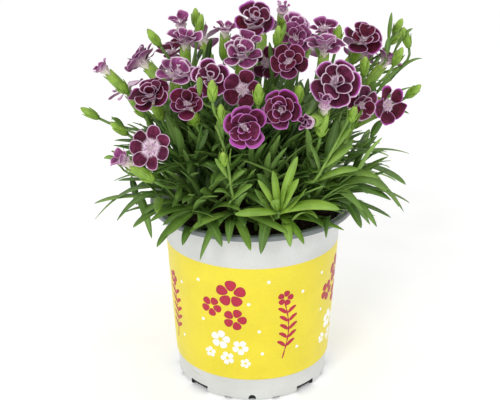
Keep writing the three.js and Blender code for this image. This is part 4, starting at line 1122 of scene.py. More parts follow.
def calyx_finish():
    """Calyxes and buds: ribbed yellow-green, darker towards the foot as painted shade, paler at the teeth and
    brown at their tips.
    """
    f = Finish("calyx", 0.42, 0.4)
    across, share, _ = f.split(f.place(uv=True))
    ribs = f.math("SINE", f.times(across, CALYX_RIBS * 2 * pi))
    ribs = f.math("MULTIPLY_ADD", ribs, 0.5, 0.5)
    # The dark green at the foot of this ramp is painted shade; the bracts read its lower part too.
    body = f.ramp(share, ((0.0, "6a9030"), (0.4, "88ae38"), (0.8, "a2c248"), (0.93, "bcd468"),
                          (1.0, "a08c54")))
    body = f.mix(f.times(f.value("tone"), 0.6), body, "a4c44e")
    body = f.mix(f.times(f.value("tip"), f.fade(share, 0.86, 0.97)), body, "7c4470")
    body = f.mix(f.times(ribs, 0.36), body, "5c8a34")
    patched = f.use(MOTTLING, Colour=body, Shade="84986a", Amount=0.4, Scale=260.0, Detail=3.0)
    f.colour(patched["Colour"])
    f.rough(patched["Mottling"], 0.36, 0.5)
    f.bump(ribs, 0.35, 0.0003)
    return f.material


def soil_finish():
    """Dark moist compost with brown fibres."""
    f = Finish("compost", 0.95, 0.2)
    crumbs = f.noise(f.place(), 420.0, 6.0, 0.7)
    fibres = f.noise(f.stretch(f.place(), (900, 160, 400)), 1.0, 2.0)
    body = f.ramp(crumbs, ((0.3, "1c140f"), (0.5, "3b2c21"), (0.62, "5a4534"), (0.75, "86694e")))
    body = f.mix(0.35, body, f.ramp(fibres, ((0.4, "2a1e16"), (0.7, "8a6c4e"))), "OVERLAY")
    patched = f.use(MOTTLING, Colour=body, Shade="6a5c50", Amount=0.4, Scale=60.0, Detail=2.0)
    f.colour(patched["Colour"])
    f.rough(crumbs, 0.85, 1.0)
    f.bump(crumbs, 0.9, 0.0015)
    return f.material


def plastic_finish(name, low, high, roughness):
    """Moulded plastic: faint flow marks, fine grain and uneven gloss."""
    f = Finish(name, roughness)
    flow = f.noise(f.stretch(f.place(), (14, 14, 60)), 1.0, 3.0)
    body = f.ramp(flow, ((0.3, low), (0.7, high)))
    clouded = f.use(MOTTLING, Colour=body, Shade="e2e2e0", Amount=0.25, Scale=45.0, Detail=3.0)
    grained = f.use(MOTTLING, Colour=clouded["Colour"], Shade="d0d0cc", Amount=0.15, Scale=1400.0,
                    Detail=2.0)
    f.colour(grained["Colour"])
    f.rough(flow, roughness - 0.06, roughness + 0.1)
    f.bump(grained["Mottling"], 0.06, 0.0002)
    return f.material


# ---------------- copies, bent into place
tubes = {}


def tube(sides, steps):
    if (sides, steps) not in tubes:
        tubes[sides, steps] = tube_blank(sides, steps)
    return tubes[sides, steps]


def add_rings(piece, centres, radii, sides, kind, directions, shift=None, **values):
    """Rings about centres; directions say what lies beside, above and ahead of each ring.

    shift gives each point's moves ahead and out of its ring.
    """
    shape = tube(sides, len(centres) - 1)
    x, y, z = shape["points"].T
    ring = np.rint(z).astype(int)
    turn = np.arctan2(y, x) % FULL_TURN
    side, up, ahead = (np.broadcast_to(direction, centres.shape)[ring] for direction in directions)
    along, out = shift(ring, turn) if shift else (0, 0)
    reach = np.asarray(radii, float)[ring] + out
    points = (centres[ring] + side * (np.cos(turn) * reach)[:, None] + up * (np.sin(turn) * reach)[:, None]
              + ahead * np.reshape(along, (-1, 1)))
    uv = np.stack([turn / FULL_TURN, ring / (len(centres) - 1)], 1)
    piece.add(shape, points, uv, kind, **values)


def add_tube(piece, centres, radii, sides, kind, **values):
    """A rod through centres, with every ring across the rod's own direction."""
    centres = np.asarray(centres, float)
    ahead = np.gradient(centres, axis=0)
    ahead /= np.linalg.norm(ahead, axis=1)[:, None]
    side = across_of(ahead[0])[0]
    sideways = []
    for direction in ahead:
        side = unit(side - direction * np.dot(side, direction))
        sideways.append(side)
    sideways = np.array(sideways)
    add_rings(piece, centres, radii, sides, kind, (sideways, np.cross(ahead, sideways), ahead), **values)


def add_turned(piece, foot, axis, rows, sides, kind, shift=None, **values):
    """A turned shape by rows of height and radius, all across one axis, even where it folds back."""
    centres = foot + axis * np.array([height for height, _ in rows])[:, None]
    radii = [radius for _, radius in rows]
    add_rings(piece, centres, radii, sides, kind, (*across_of(axis), axis), shift, **values)


def petal_rim(petal, turn):
    """Share along a petal and reach across it where its edge lies, by the turn round its middle."""
    share = (1 + np.sin(turn)) / 2
    return share, np.sign(np.cos(turn)) * petal_half_width(petal, share)


def add_petal(piece, placed, petal, rng, looks):
    """A round sheet drawn to the petal's outline, notched and ruffled towards its edge."""
    x, y, z = PETAL_BLANK["points"].T
    out, turn = np.hypot(x, y), np.arctan2(y, x)
    notches = rng.uniform(-RUFFLE.notch, RUFFLE.notch / 2, RUFFLE.sides)
    place = np.rint(turn / FULL_TURN * RUFFLE.sides).astype(int) % RUFFLE.sides
    notch = notches[place] * out ** 6
    rim_s, rim_reach = petal_rim(petal, turn)
    s = petal["broad"] + (rim_s - petal["broad"]) * out
    reach = -rim_reach * out
    # How far each point lies from the nearest place on the edge.
    edge_s, edge_reach = petal_rim(petal, np.linspace(-RUFFLE.beyond, pi + RUFFLE.beyond,
                                                      RUFFLE.edge_points))
    edge = np.sqrt(np.min((reach[:, None] - edge_reach) ** 2
                          + ((s[:, None] - edge_s) * petal["length"]) ** 2, axis=1))
    wave, fine = rng.uniform(0, FULL_TURN, 2)
    ruffle = RUFFLE.wave * np.sin(RUFFLE.waves * turn + wave) * out ** 3
    ruffle += RUFFLE.fine * np.sin(RUFFLE.fine_waves * turn + fine) * out ** 4
    thick = np.where(is_back_point(z), -RUFFLE.thick * (1 - RUFFLE.thin_edge * out ** 4), 0)
    rim = petal["broad"] + (s - petal["broad"]) * (1 + notch)
    points = petal_points(placed, petal, rim, reach * (1 + notch), ruffle + thick)
    fan = petal["length"] * petal["ratio"] * (RUFFLE.fan + (1 - RUFFLE.fan) * s)
    uv = np.stack([0.5 + reach / fan, s], 1)
    piece.add(PETAL_BLANK, points, uv, PETAL_KINDS, edge=edge, seed=rng.random(), **looks)


def blade_share(s, taper):
    """Half-width of a leaf from its clasping foot to its tip, as a share of the widest."""
    rise = np.minimum(1, s / BLADE.wide)
    fall = np.maximum(0, (s - BLADE.wide) / (1 - BLADE.wide))
    swell = BLADE.root + (1 - BLADE.root) * np.sin(rise * pi / 2)
    return swell * (1 - fall ** taper) ** BLADE.blunt


def blade_half(width, s, rng):
    return np.maximum(width / 2 * blade_share(s, rng.uniform(*BLADE.taper)), BLADE.least)


def blade_back(x, s, z):
    """How far the back of a leaf lies under its face: most along the rib near the foot."""
    keel = BLADE.keel * (1 - np.abs(x)) * (1 - BLADE.keel_fall * s)
    return np.where(is_back_point(z), -(BLADE.margin + keel), 0)


def gather_blade(piece, blank, points, tip, young, rng):
    x, s, _ = blank["points"].T
    uv = np.stack([(x + 1) / 2, s], 1)
    kinds = kinds_of(blank, KIND.leaf, KIND.under)
    piece.add(blank, points, uv, kinds, tone=leaf_age_and_depth_shade(tip, rng), young=young, seed=rng.random())


def leaf_age_and_depth_shade(tip, rng):
    """Leaves deep in the plant are darker than those that reach out of it, partly as older leaves and partly
    as painted shade of the bush's depth; leaves whose tips hang low get more painted shade.
    """
    out = (hypot(tip[0], tip[1]) - AGE_AND_DEPTH_SHADE.start) / AGE_AND_DEPTH_SHADE.span
    low = AGE_AND_DEPTH_SHADE.less if tip[2] < AGE_AND_DEPTH_SHADE.low else 0
    return float(np.clip(AGE_AND_DEPTH_SHADE.chance * rng.random() + AGE_AND_DEPTH_SHADE.share * out - low, 0, 1))


def add_leaf(piece, blank, leaf, rng, young):
    """A leaf of the placing rule, folded along its rib and a little twisted."""
    x, s, z = blank["points"].T
    tip = leaf_points(leaf, np.ones(1), np.zeros(1))[0]
    width = leaf["width"] * (BLADE.inside if tip[2] > BLADE.high else 1)
    half = blade_half(width, s, rng)
    reach = -x * half
    twist = radians(rng.uniform(-BLADE.twist, BLADE.twist)) * s
    fold = np.abs(x) * half * BLADE.fold
    lifted = fold + blade_back(x, s, z) + reach * np.sin(twist)
    gather_blade(piece, blank, leaf_points(leaf, s, reach * np.cos(twist), lifted), tip, young, rng)


def add_bowed_leaf(piece, blank, foot, tip, width, arch, young, rng):
    """A leaf between two places that bows up between them and turns its face to the light."""
    x, s, z = blank["points"].T
    ahead = tip - foot
    long = length_of(ahead)
    centre = foot + ahead * s[:, None] + UP * (4 * arch * s * (1 - s))[:, None]
    slope = ahead / long + UP * (4 * arch * (1 - 2 * s) / long)[:, None]
    slope /= np.linalg.norm(slope, axis=1)[:, None]
    side = unit(cross(ahead, LEAF_FACE))
    lift = np.cross(side, slope)
    roll = radians(rng.uniform(-1, 1) * BLADE.roll) * (0.5 + s)[:, None]
    side, lift = side * np.cos(roll) + lift * np.sin(roll), lift * np.cos(roll) - side * np.sin(roll)
    half = blade_half(width, s, rng)
    sway = rng.uniform(-BLADE.sway, BLADE.sway) * long * s * s
    points = (centre + side * (x * half + sway)[:, None]
              + lift * (np.abs(x) * half * BLADE.fold + blade_back(x, s, z))[:, None])
    gather_blade(piece, blank, points, tip, young, rng)


def add_stem(piece, stem, leaf_shares, young, rng):
    """A stem of the placing rule, with a swollen joint at each pair of leaves."""
    shares = set(np.linspace(0, 1, JOINT.main_rings if stem["kind"] == "main" else JOINT.rings))
    for share in leaf_shares:
        around = (share - JOINT.half, share, share + JOINT.half)
        shares.update(s for s in around if 0 < s < 1)
    shares = np.array(sorted(shares))
    near = np.min(np.abs(shares[:, None] - np.array([*leaf_shares, JOINT.none])), axis=1)
    radii = stem["radius"] * (1 + JOINT.swell * (near < JOINT.at))
    radii = radii * (JOINT.foot - JOINT.thins * shares)
    centres = [smooth_point(stem, share) for share in shares]
    add_tube(piece, centres, radii, STEM_SIDES, KIND.stem, young=young, seed=rng.random())


def cup_radius(profile, height):
    return np.interp(height, [h for h, _ in profile], [r for _, r in profile])


def add_bracts(piece, foot, axis, profile, reach, rng):
    """Two pairs of pointed bracts that hug the foot of a calyx or bud."""
    side, up = across_of(axis)
    x, s, z = BRACT_BLANK["points"].T
    for i in range(BRACT.count):
        turn = radians(45 + 90 * i + rng.uniform(-BRACT.swing, BRACT.swing))
        length = reach * rng.uniform(*BRACT.change) * (1 if i % 2 else BRACT.shorter)
        height = BRACT.foot + s * length
        radius = cup_radius(profile, height) + np.where(is_back_point(z), BRACT.under, BRACT.over)
        radius = radius + BRACT.flare * s ** 3
        half = np.maximum(BRACT.half * (1 - s ** BRACT.taper), BRACT.least)
        angle = turn + x * half / radius
        points = (foot + axis * height[:, None] + side * (np.cos(angle) * radius)[:, None]
                  + up * (np.sin(angle) * radius)[:, None])
        uv = np.stack([(x + 1) / 2, BRACT.shade_from + BRACT.shade_span * s], 1)
        piece.add(BRACT_BLANK, points, uv, KIND.calyx, tone=rng.random() * BRACT.tone, seed=rng.random())


def add_calyx(piece, placed, rng):
    """A cup with a toothed mouth that turns back inside, and bracts round its foot."""
    foot, axis, length = calyx_foot(placed), placed["axis"], CALYX.length
    outside = [(share * length, radius) for share, radius in CUP]
    mouth = [(length, CALYX.mouth + 0.1), (length, CALYX.mouth - 0.3)]
    inside = [(length * share, radius) for share, radius in CUP_INSIDE]

    def toothed(ring, turn):
        tooth = np.rint(turn / (FULL_TURN / CUP_SIDES)).astype(int) % TEETH.every == 0
        at_mouth = (ring == len(outside)) | (ring == len(outside) + 1)
        along = np.where(at_mouth, np.where(tooth, TEETH.rise, TEETH.notch), 0)
        return along, np.where(at_mouth & tooth, TEETH.flare, 0)

    add_turned(piece, foot, axis, outside + mouth + inside, CUP_SIDES, KIND.calyx, toothed,
               tone=rng.random(), seed=rng.random())
    add_bracts(piece, foot, axis, outside, BRACT.on_calyx, rng)


def add_bud(piece, bud, rng):
    rows = [(share * BUD.length, radius) for share, radius in BUD_ROWS]
    add_turned(piece, bud["foot"], bud["axis"], rows, CUP_SIDES, KIND.calyx, tone=rng.random(),
               tip=float(rng.random() < COLOURED_BUDS), seed=rng.random())
    add_bracts(piece, bud["foot"], bud["axis"], rows, BRACT.on_bud, rng)


def add_throat(piece, placed, rng):
    """The funnel of claws under the petals and the small disc they meet at."""
    add_turned(piece, placed["place"], placed["axis"], FUNNEL, FUNNEL_SIDES, PETAL_KIND.claw,
               seed=rng.random())


def add_stamens(piece, placed, rng):
    """Stalks that lean out of the throat; every third is a longer style."""
    t = np.linspace(0, 1, STAMENS.rings)
    for i in range(STAMENS.count):
        is_style = i % 3 == 0
        turn = FULL_TURN * (i + rng.uniform(-STAMENS.uneven, STAMENS.uneven)) / STAMENS.count
        out = placed["side"] * cos(turn) + placed["up"] * sin(turn)
        long = STAMENS.style if is_style else STAMENS.stamen * rng.uniform(*STAMENS.change)
        lean = rng.uniform(*STAMENS.lean) + STAMENS.spread * t
        centres = (placed["place"] + placed["axis"] * (long * t * (1 - STAMENS.curl * t))[:, None]
                   + out * (STAMENS.from_middle + long * t * lean)[:, None])
        stalk, *tip = STAMENS.style_radii if is_style else STAMENS.stamen_radii
        add_tube(piece, centres, [stalk] * (STAMENS.rings - len(tip)) + tip, STAMENS.sides,
                 PETAL_KIND.stamen, seed=rng.random())


# ---------------- petals of each bloom
PETAL_BLANK = round_blank(RUFFLE.sides, RUFFLE.insets)
PETAL_KINDS = kinds_of(PETAL_BLANK, PETAL_KIND.face, PETAL_KIND.back)
LONG_LEAF, SHORT_LEAF, BRACT_BLANK = leaf_blank(LONG_ROWS), leaf_blank(SHORT_ROWS), leaf_blank(BRACT_ROWS)

petal_finishes = [petal_face_finish(), petal_back_finish(), claw_finish(), stamen_finish()]
green_finishes = [leaf_finish(), under_leaf_finish(), stem_finish(), calyx_finish()]


def name_of(kind, number):
    return f"{kind}_{number + 1:02d}"


def settle(obj, slot, *nodes):
    """The piece rides the plant's one body and stands for the given solids, which are hidden; the slot is not
    used.
    """
    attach(obj, "root")
    if nodes:
        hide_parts(*nodes)
    return obj


def with_own_shape(petal, rng):
    """No two petals of a bloom are quite alike."""
    change = PETAL_CHANGE
    own = dict(petal, lift=petal["lift"] + rng.uniform(*change["lift"]),
               bend=petal["bend"] + rng.uniform(*change["bend"]),
               cup=petal["cup"] + rng.uniform(*change["cup"]),
               twist=petal["twist"] + rng.uniform(*change["twist"]),
               angle=petal["angle"] + rng.uniform(*change["angle"]),
               ratio=petal["ratio"] * rng.uniform(*change["ratio"]),
               length=petal["length"] * rng.uniform(*change["length"]))
    if petal["kind"] == "inner":
        change = INNER_CHANGE
        own.update(length=petal["length"] * rng.uniform(*change["length"]),
                   ratio=rng.uniform(*change["ratio"]),
                   angle=petal["angle"] + rng.uniform(-change["angle"], change["angle"]),
                   cup=rng.uniform(*change["cup"]),
                   twist=rng.choice((-1, 1)) * rng.uniform(*change["twist"]),
                   lift=petal["lift"] + rng.uniform(*change["lift"]))
    return own


def heart_petals(index, bloom, rng):
    """Small petals in the middle of a full bloom, or rolled together in one that opens."""
    reach, lift = bloom[5] / 2 - PETAL["start"], bloom[8]
    petals = []
    if index in CROWDED:
        for _ in range(rng.integers(*HEART.count)):
            petals.append(dict(
                length=reach * rng.uniform(*HEART.length), lift=lift + rng.uniform(*HEART.lift),
                cup=HEART.cup, bend=rng.uniform(*HEART.bend), start=HEART.start,
                base=HEART.base, ratio=rng.uniform(*HEART.ratio)))
    if index in ROLLED:
        for _ in range(ROLL.count):
            petals.append(dict(
                length=reach * rng.uniform(*ROLL.length), lift=rng.uniform(*ROLL.lift),
                cup=ROLL.cup, bend=rng.uniform(*ROLL.bend), start=rng.uniform(*ROLL.start),
                base=ROLL.base, ratio=ROLL.ratio))
    twist = HEART.twist
    return [dict(PETAL, kind="small", angle=rng.uniform(0, 360), twist=rng.uniform(-twist, twist), **petal)
            for petal in petals]


def looks_of(index, petal, tone, rng):
    """The values that a petal's finish reads."""
    change = LOOKS_SPREAD
    band_change = change["outer_band"] if petal["kind"] == "outer" else change["inner_band"]
    return dict(tone=float(np.clip(tone + rng.uniform(*change["tone"]), 0, 1)),
                pale=PALE_THROAT.get(index, USUAL.pale) * rng.uniform(*change["pale"]),
                line=LINES.get(index, USUAL.line),
                band=BANDS.get(index, USUAL.band) * rng.uniform(*band_change))


def make_bloom(index, bloom, placed, petals, *nodes):
    """A bloom's petals, heart, throat and stamens in one piece."""
    rng = np.random.default_rng(BLOOM_SEED + index)
    piece = Piece(name_of("petals", index), ("edge", "tone", "pale", "band", "line", "seed"))
    tone = MAUVE_AND_SHEEN_TONES.get(index, rng.uniform(*USUAL.tone))
    drawn = [with_own_shape(petal, rng) for petal in petals]
    for petal in drawn + heart_petals(index, bloom, rng):
        add_petal(piece, placed, petal, rng, looks_of(index, petal, tone, rng))
    add_throat(piece, placed, rng)
    if index not in ROLLED:
        add_stamens(piece, placed, rng)
    settle(piece.finish(petal_finishes), "petal", *nodes)


for index, placed in enumerate(bloom_frames):
    make_bloom(index, BLOOMS[index], placed, bloom_petals[index], name_of("bloom", index))
for index, (bloom, _) in enumerate(FURTHER_BLOOMS, len(BLOOMS)):
    make_bloom(index, bloom, bloom_frame(bloom), petals_of(bloom, index))


# ---------------- leaves, stems and buds of each shoot
GREEN_VALUES = ("tone", "young", "tip", "seed")


def youth_of(kind, number, share, rng):
    """How young the leaves on a stem are: more so towards its top."""
    if kind == "tuft" and number == YOUNG_SHOOT:
        return YOUTH["young_tuft"]
    young = YOUTH[kind] + YOUTH["top"] * max(0, share - YOUTH["top_from"]) + rng.uniform(*YOUTH["change"])
    return float(np.clip(young, 0, 1))


def gap_to(stem, share, foot):
    return np.sum((foot - smooth_point(stem, share)) ** 2, axis=-1)


def leaf_shares_of(stem, feet):
    """The shares of a stem at which leaves stand on it."""
    shares = []
    for share in np.linspace(0, 1, JOINT.looks):
        if len(feet) and np.min(gap_to(stem, share, feet)) < JOINT.near:
            if not shares or share - shares[-1] > JOINT.apart:
                shares.append(share)
    return shares


for index, stems in enumerate(stems_of_shoots):
    rng = np.random.default_rng(SHOOT_SEED + index)
    piece = Piece(name_of("greens", index), GREEN_VALUES)
    feet = np.array([leaf["foot"] for leaf in leaves_of_shoots[index]])
    for stem in stems:
        shares = leaf_shares_of(stem, feet)
        add_stem(piece, stem, shares, YOUTH["tuft_stem" if stem["kind"] == "tuft" else "stem"], rng)
        for leaf in leaves_of_shoots[index]:
            gaps = [gap_to(stem, share, leaf["foot"]) for share in shares]
            if gaps and min(gaps) < JOINT.near:
                leaf["young"] = youth_of(stem["kind"], index, shares[int(np.argmin(gaps))], rng)
    for leaf in leaves_of_shoots[index]:
        add_leaf(piece, LONG_LEAF, leaf, rng, leaf.get("young", YOUTH["usual"]))
    for number in SHOOTS[index][1]:
        add_calyx(piece, bloom_frames[number - 1], rng)
    for bud in buds_of[index]:
        add_bud(piece, bud, rng)
    settle(piece.finish(green_finishes), "leaf", name_of("shoot", index))


# ---------------- the many leaves further in
bloom_room = np.zeros(room.shape, bool)


def keep_free(points):
    cells = (cells_of(points)[:, None] + AROUND[None]).reshape(-1, 3)
    bloom_room[cells[:, 0], cells[:, 1], cells[:, 2]] = True


for placed, petals in zip(bloom_frames, bloom_petals):
    keep_free(bloom_samples(placed, petals))
    keep_free(calyx_samples(placed))


def nearest_stem(place):
    """The shoot and the point of its stem that lie nearest under a place."""
    best = None
    for number, stems in enumerate(stems_of_shoots):
        for share in np.linspace(*ROOTED.shares, ROOTED.looks):
            at = smooth_point(stems[0], share)
            if at[2] < place[2] - ROOTED.below and hypot(at[0], at[1]) < ROOTED.within:
                gap = length_of(at - place)
                if best is None or gap < best[0]:
                    best = (gap, number, at)
    return best[1:]


for buds in buds_of:
    for bud in buds:
        keep_free(rod_samples(bud["foot"], bud["tip"], BUD.radius))

for foot, tip, width, _, young in OUTER_LEAVES:
    if young >= YOUTH["kept_clear"]:
        keep_free(rod_samples(vec(*foot), vec(*tip), width / 2))


def fits(points):
    """Whether points keep clear of blooms and pot and lie inside the bush."""
    cells = cells_of(points)
    if bloom_room[cells[:, 0], cells[:, 1], cells[:, 2]].any() or not is_above_pot(points):
        return False
    x, y, z = points.T
    out = np.hypot(x / BUSH.wide, y / BUSH.deep)
    high = np.where(z > BUSH.high_from, BUSH.high_wide / BUSH.wide, 1)
    rim = (np.hypot(x, y) > POT.lip_radius - BUSH.rim_within) & (z < BUSH.over_rim)
    return bool((out < high).all() and (z < BUSH.top).all() and not rim.any())


def fill_leaf(at, along, turn, share, rng):
    """A leaf that fits, tried more and more wildly; None if there is no room."""
    side, up = across_of(along)
    for attempt in range(FILL["tries"]):
        wild = attempt / FILL["tries"]
        angle = radians(turn + rng.uniform(-1, 1) * (FILL["swing"] + FILL["wild_swing"] * wild))
        opening = radians(rng.uniform(*FILL["opening"]))
        aim = (along * cos(opening) + side * (sin(opening) * cos(angle))
               + up * (sin(opening) * sin(angle)))
        rise = degrees(asin(max(-1, min(1, aim[2]))))
        rise += rng.uniform(-FILL["wild_rise"], FILL["wild_rise"]) * wild
        length = FILL["longest"] + (FILL["shortest"] - FILL["longest"]) * share
        length *= rng.uniform(*FILL["change"])
        leaf = dict(foot=at, azimuth=atan2(aim[1], aim[0]), lift=max(FILL["least_lift"], rise),
                    bend=rng.uniform(*FILL["bend"]), length=length * (1 - FILL["shorter"] * wild),
                    width=FILL["width"] * rng.uniform(*FILL["change"]),
                    sway=rng.uniform(-FILL["sway"], FILL["sway"]))
        if fits(leaf_samples(leaf)):
            return leaf
    return None


def add_thin_stem(piece, ends, plan, rng):
    rings, radii, young = plan
    path = [bezier(ends, t) for t in np.linspace(0, 1, rings)]
    add_tube(piece, path, np.linspace(*radii, rings), SIDE_STEM_SIDES, KIND.stem, young=young,
             seed=rng.random())


def rooted_ends(low, foot, arrive):
    """The curve from the nearest stem under a low place to a foot."""
    start = nearest_stem(low)[1]
    leave = unit(low - start + UP * ROOTED.leave)
    return bent_ends(start, leave, foot, arrive, STEM.bend)


def side_stem_of(main, outward, rng):
    """A side stem that leans out of a main stem, or None if there is no room."""
    start = smooth_point(main, rng.uniform(*SIDE_STEM.start))
    turn = atan2(outward[1], outward[0]) + rng.normal() * SIDE_STEM.turn
    out = rng.uniform(*SIDE_STEM.out)
    foot = start + vec(cos(turn) * out, sin(turn) * out, rng.uniform(*SIDE_STEM.rise))
    axis = unit(foot - start + UP * out * SIDE_STEM.outward)
    ends = bent_ends(start, unit(foot - start + UP * SIDE_STEM.leave), foot, axis, STEM.bend)
    path = path_of(ends, SIDE_STEM.steps)
    if not fits(path_samples(path, SIDE_STEM.width)):
        return None
    return dict(path=path, ends=ends, kind="side", radius=SIDE_STEM.radius)


def add_young_stem(piece, top, via, low, rng):
    """A pale stem in two parts: up to a low place, and from there over a bend to its top."""
    ends = rooted_ends(low, low, unit(via - low))
    shares = np.linspace(0, 1, YOUNG_STEM.rings)
    path = [bezier(ends, t) for t in shares[:-1]]
    path += [low * (1 - t) ** 2 + via * (2 * t * (1 - t)) + top * t * t for t in shares]
    add_tube(piece, path, np.linspace(*YOUNG_STEM.radii, len(path)), SIDE_STEM_SIDES, KIND.stem,
             young=YOUNG_STEM.young, seed=rng.random())


def add_fill_leaves(piece, stem, index, rng):
    """Crossed pairs of leaves up a stem."""
    turn = rng.uniform(0, 180)
    low, high = FILL_SPAN[stem["kind"]]
    pairs = FILL[stem["kind"]]
    for pair in range(pairs):
        share = low + (high - low) * (pair + rng.uniform(*FILL["within_step"])) / pairs
        at = smooth_point(stem, share)
        above, below = min(1, share + JOINT.half), max(0, share - JOINT.half)
        along = unit(smooth_point(stem, above) - smooth_point(stem, below))
        for half in range(2):
            leaf = fill_leaf(at, along, turn + pair * 90 + half * 180, share, rng)
            if leaf:
                add_leaf(piece, SHORT_LEAF, leaf, rng, youth_of("main", index, share, rng))


def by_shoot(entries, root_of):
    """Entries of a table, turned to places and sorted to the shoot that stands nearest under them."""
    sorted_entries = [[] for _ in SHOOTS]
    for entry in entries:
        places = [vec(*item) if isinstance(item, tuple) and len(item) == 3 else item for item in entry]
        sorted_entries[nearest_stem(root_of(places))[0]].append(places)
    return sorted_entries


outer_of = by_shoot(OUTER_LEAVES, lambda leaf: leaf[0])
young_of = by_shoot(YOUNG_STEMS, lambda stem: stem[-1])
further_of = by_shoot(FURTHER_BUDS, lambda bud: bud[-1])
calyx_of = by_shoot(FURTHER_BLOOMS, lambda bloom: bloom[-1])

for index, stems in enumerate(stems_of_shoots):
    rng = np.random.default_rng(SIDE_SEED + index)
    piece = Piece(name_of("side_leaves", index), GREEN_VALUES)
    plants = list(stems)
    outward = unit(vec(*SHOOTS[index][0], 0))
    for _ in range(FILL["side_stems"]):
        side_stem = side_stem_of(stems[0], outward, rng)
        if side_stem:
            plants.append(side_stem)
            add_thin_stem(piece, side_stem["ends"], THIN.side, rng)
    for foot, tip, width, arch, young in outer_of[index]:
        arrive = unit(tip - foot + UP * ROOTED.arrive)
        add_thin_stem(piece, rooted_ends(foot, foot, arrive), THIN.leaf, rng)
        add_bowed_leaf(piece, LONG_LEAF, foot, tip, width, arch, young, rng)
    for top, via, low in young_of[index]:
        add_young_stem(piece, top, via, low, rng)
    for tip, foot, start in further_of[index]:
        axis = unit(tip - foot)
        add_thin_stem(piece, rooted_ends(start, foot, axis), THIN.bud, rng)
        add_bud(piece, dict(foot=foot, axis=axis), rng)
    for bloom, start in calyx_of[index]:
        placed = bloom_frame(bloom)
        add_thin_stem(piece, rooted_ends(start, calyx_foot(placed), placed["axis"]), THIN.bloom, rng)
        add_calyx(piece, placed, rng)
    for stem in plants:
        add_fill_leaves(piece, stem, index, rng)
    settle(piece.finish(green_finishes), "leaf")


# ---------------- pot
def wall_radius(height):
    slope = (POT.wall_top_radius - POT.band_bottom_radius) / (POT.wall_top - POT.band_bottom)
    return POT.band_bottom_radius + slope * (height - POT.band_bottom)


def pot_profile():
    """Radius and height up the outside, over the lip and down the inside."""
    lip, top, wall_top = POT.lip_radius, POT.height, POT.wall_top
    low, high = POT.band_bottom, POT.band_top
    skirt = POT.band_bottom_radius - POT.band_proud
    under = top - POT.lip_height
    profile = [(POT.foot_radius + out, height) for out, height in FOOT_ROWS]
    profile += [(skirt + out, height) for out, height in SKIRT_ROWS]
    profile += [(skirt, low - 0.6), (skirt + 0.8, low - 0.15), (POT.band_bottom_radius, low + 0.1)]
    profile += [(wall_radius(height), height) for height in (*BAND_HEIGHTS, high - 0.1, high)]
    profile += [(wall_radius(height) - BAND_STEP, height) for height in (high + 0.2, ABOVE_BAND, wall_top)]
    profile += [(POT.wall_top_radius + out, height) for out, height in ((0.5, 106), (1.6, under - 1.5))]
    profile += [(lip + out, under + up) for out, up in LIP_UNDER_ROWS]
    profile += [(lip + out, top + up) for out, up in LIP_TOP_ROWS]
    profile += [(POT.wall_top_radius - 0.9, wall_top + 1.5)]
    inner_low = wall_radius(POT.inner_foot) - POT.band_proud - POT.wall
    inner_top = POT.wall_top_radius - POT.wall
    profile += [(inner_low + (inner_top - inner_low) * t, POT.inner_foot + INSIDE_HEIGHT * t)
                for t in INSIDE_SHARES]
    return profile + [(POT.foot_radius - 1, POT.floor)]


def cutter(primitive, azimuth, middle, scale, lying=False, **size):
    """A tool at a radius and height round the pot's axis; a lying one points away from the axis."""
    bpy.ops.object.select_all(action="DESELECT")
    primitive(**size)
    obj = bpy.context.object
    turn = radians(azimuth)
    for vertex in obj.data.vertices:
        x, y, z = vertex.co
        if lying:
            x, z = z, -x
        x, y, z = (a * b for a, b in zip((x, y, z), scale))
        x += middle[0]
        vertex.co = Vector((x * cos(turn) - y * sin(turn),
                            x * sin(turn) + y * cos(turn), z + middle[1])) * MM
    return obj


def box_cutter(azimuth, inner, top, width):
    """A block that cuts the foot open from an inner radius outwards, up to a height."""
    long = POT.lip_radius - inner
    return cutter(bpy.ops.mesh.primitive_cube_add, azimuth, (inner + long / 2, top / 2 - 1),
                  (long, width, top + 2), size=1)


def rod_cutter(azimuth, middle, scale, lying=False):
    return cutter(bpy.ops.mesh.primitive_cylinder_add, azimuth, middle, scale, lying,
                  vertices=24, radius=1, depth=1)


def pot_cutters():
    """Drainage recesses with their holes, and air slots between them."""
    cutters = []
    for azimuth in DRAIN.azimuths:
        for inner, top in ((DRAIN.inner, DRAIN.depth), (DRAIN.cut_to, DRAIN.height)):
            cutters.append(box_cutter(azimuth, inner, top, DRAIN.width))
        cutters.append(rod_cutter(azimuth, (DRAIN.hole_at, 1), (DRAIN.hole, DRAIN.hole, 6)))
        between = azimuth + 45
        for step in (-1, 1):
            cutters.append(box_cutter(between + step * SLOT.spread, SLOT.inner, SLOT.height,
                                      SLOT.width))
        long = POT.lip_radius - SLOT.hole_from
        cutters.append(rod_cutter(between, (SLOT.hole_from + long / 2, SLOT.hole_at),
                                  (long, SLOT.hole, SLOT.hole), lying=True))
    return cutters


def turned_piece(name, profile, sides, finishes, kind_of):
    """A turned shape closed at both ends; kind_of gives the finish of each row of faces."""
    piece = Piece(name, ("seed",))
    radii, heights = np.array(profile, float).T
    shape = tube(sides, len(profile) - 1)
    x, y, z = shape["points"].T
    ring = np.rint(z).astype(int)
    points = np.stack([x * radii[ring], y * radii[ring], heights[ring]], 1)
    kinds = np.array([kind_of(row) for row in shape["middles"][:, 2]])
    uv = np.stack([(np.arctan2(y, x) % FULL_TURN) / FULL_TURN, ring / len(profile)], 1)
    piece.add(shape, points, uv, kinds)
    return piece.finish(finishes)


profile = pot_profile()
ROW_BAND = (8, 13)
ROW_LIP = next(i for i, (_, height) in enumerate(profile) if height > POT.wall_top) + 0.1
# The last kind of face carries painted shade inside the drainage recesses.
POT_KIND = Sizes(white=0, yellow=1, grey=2, recess=3)


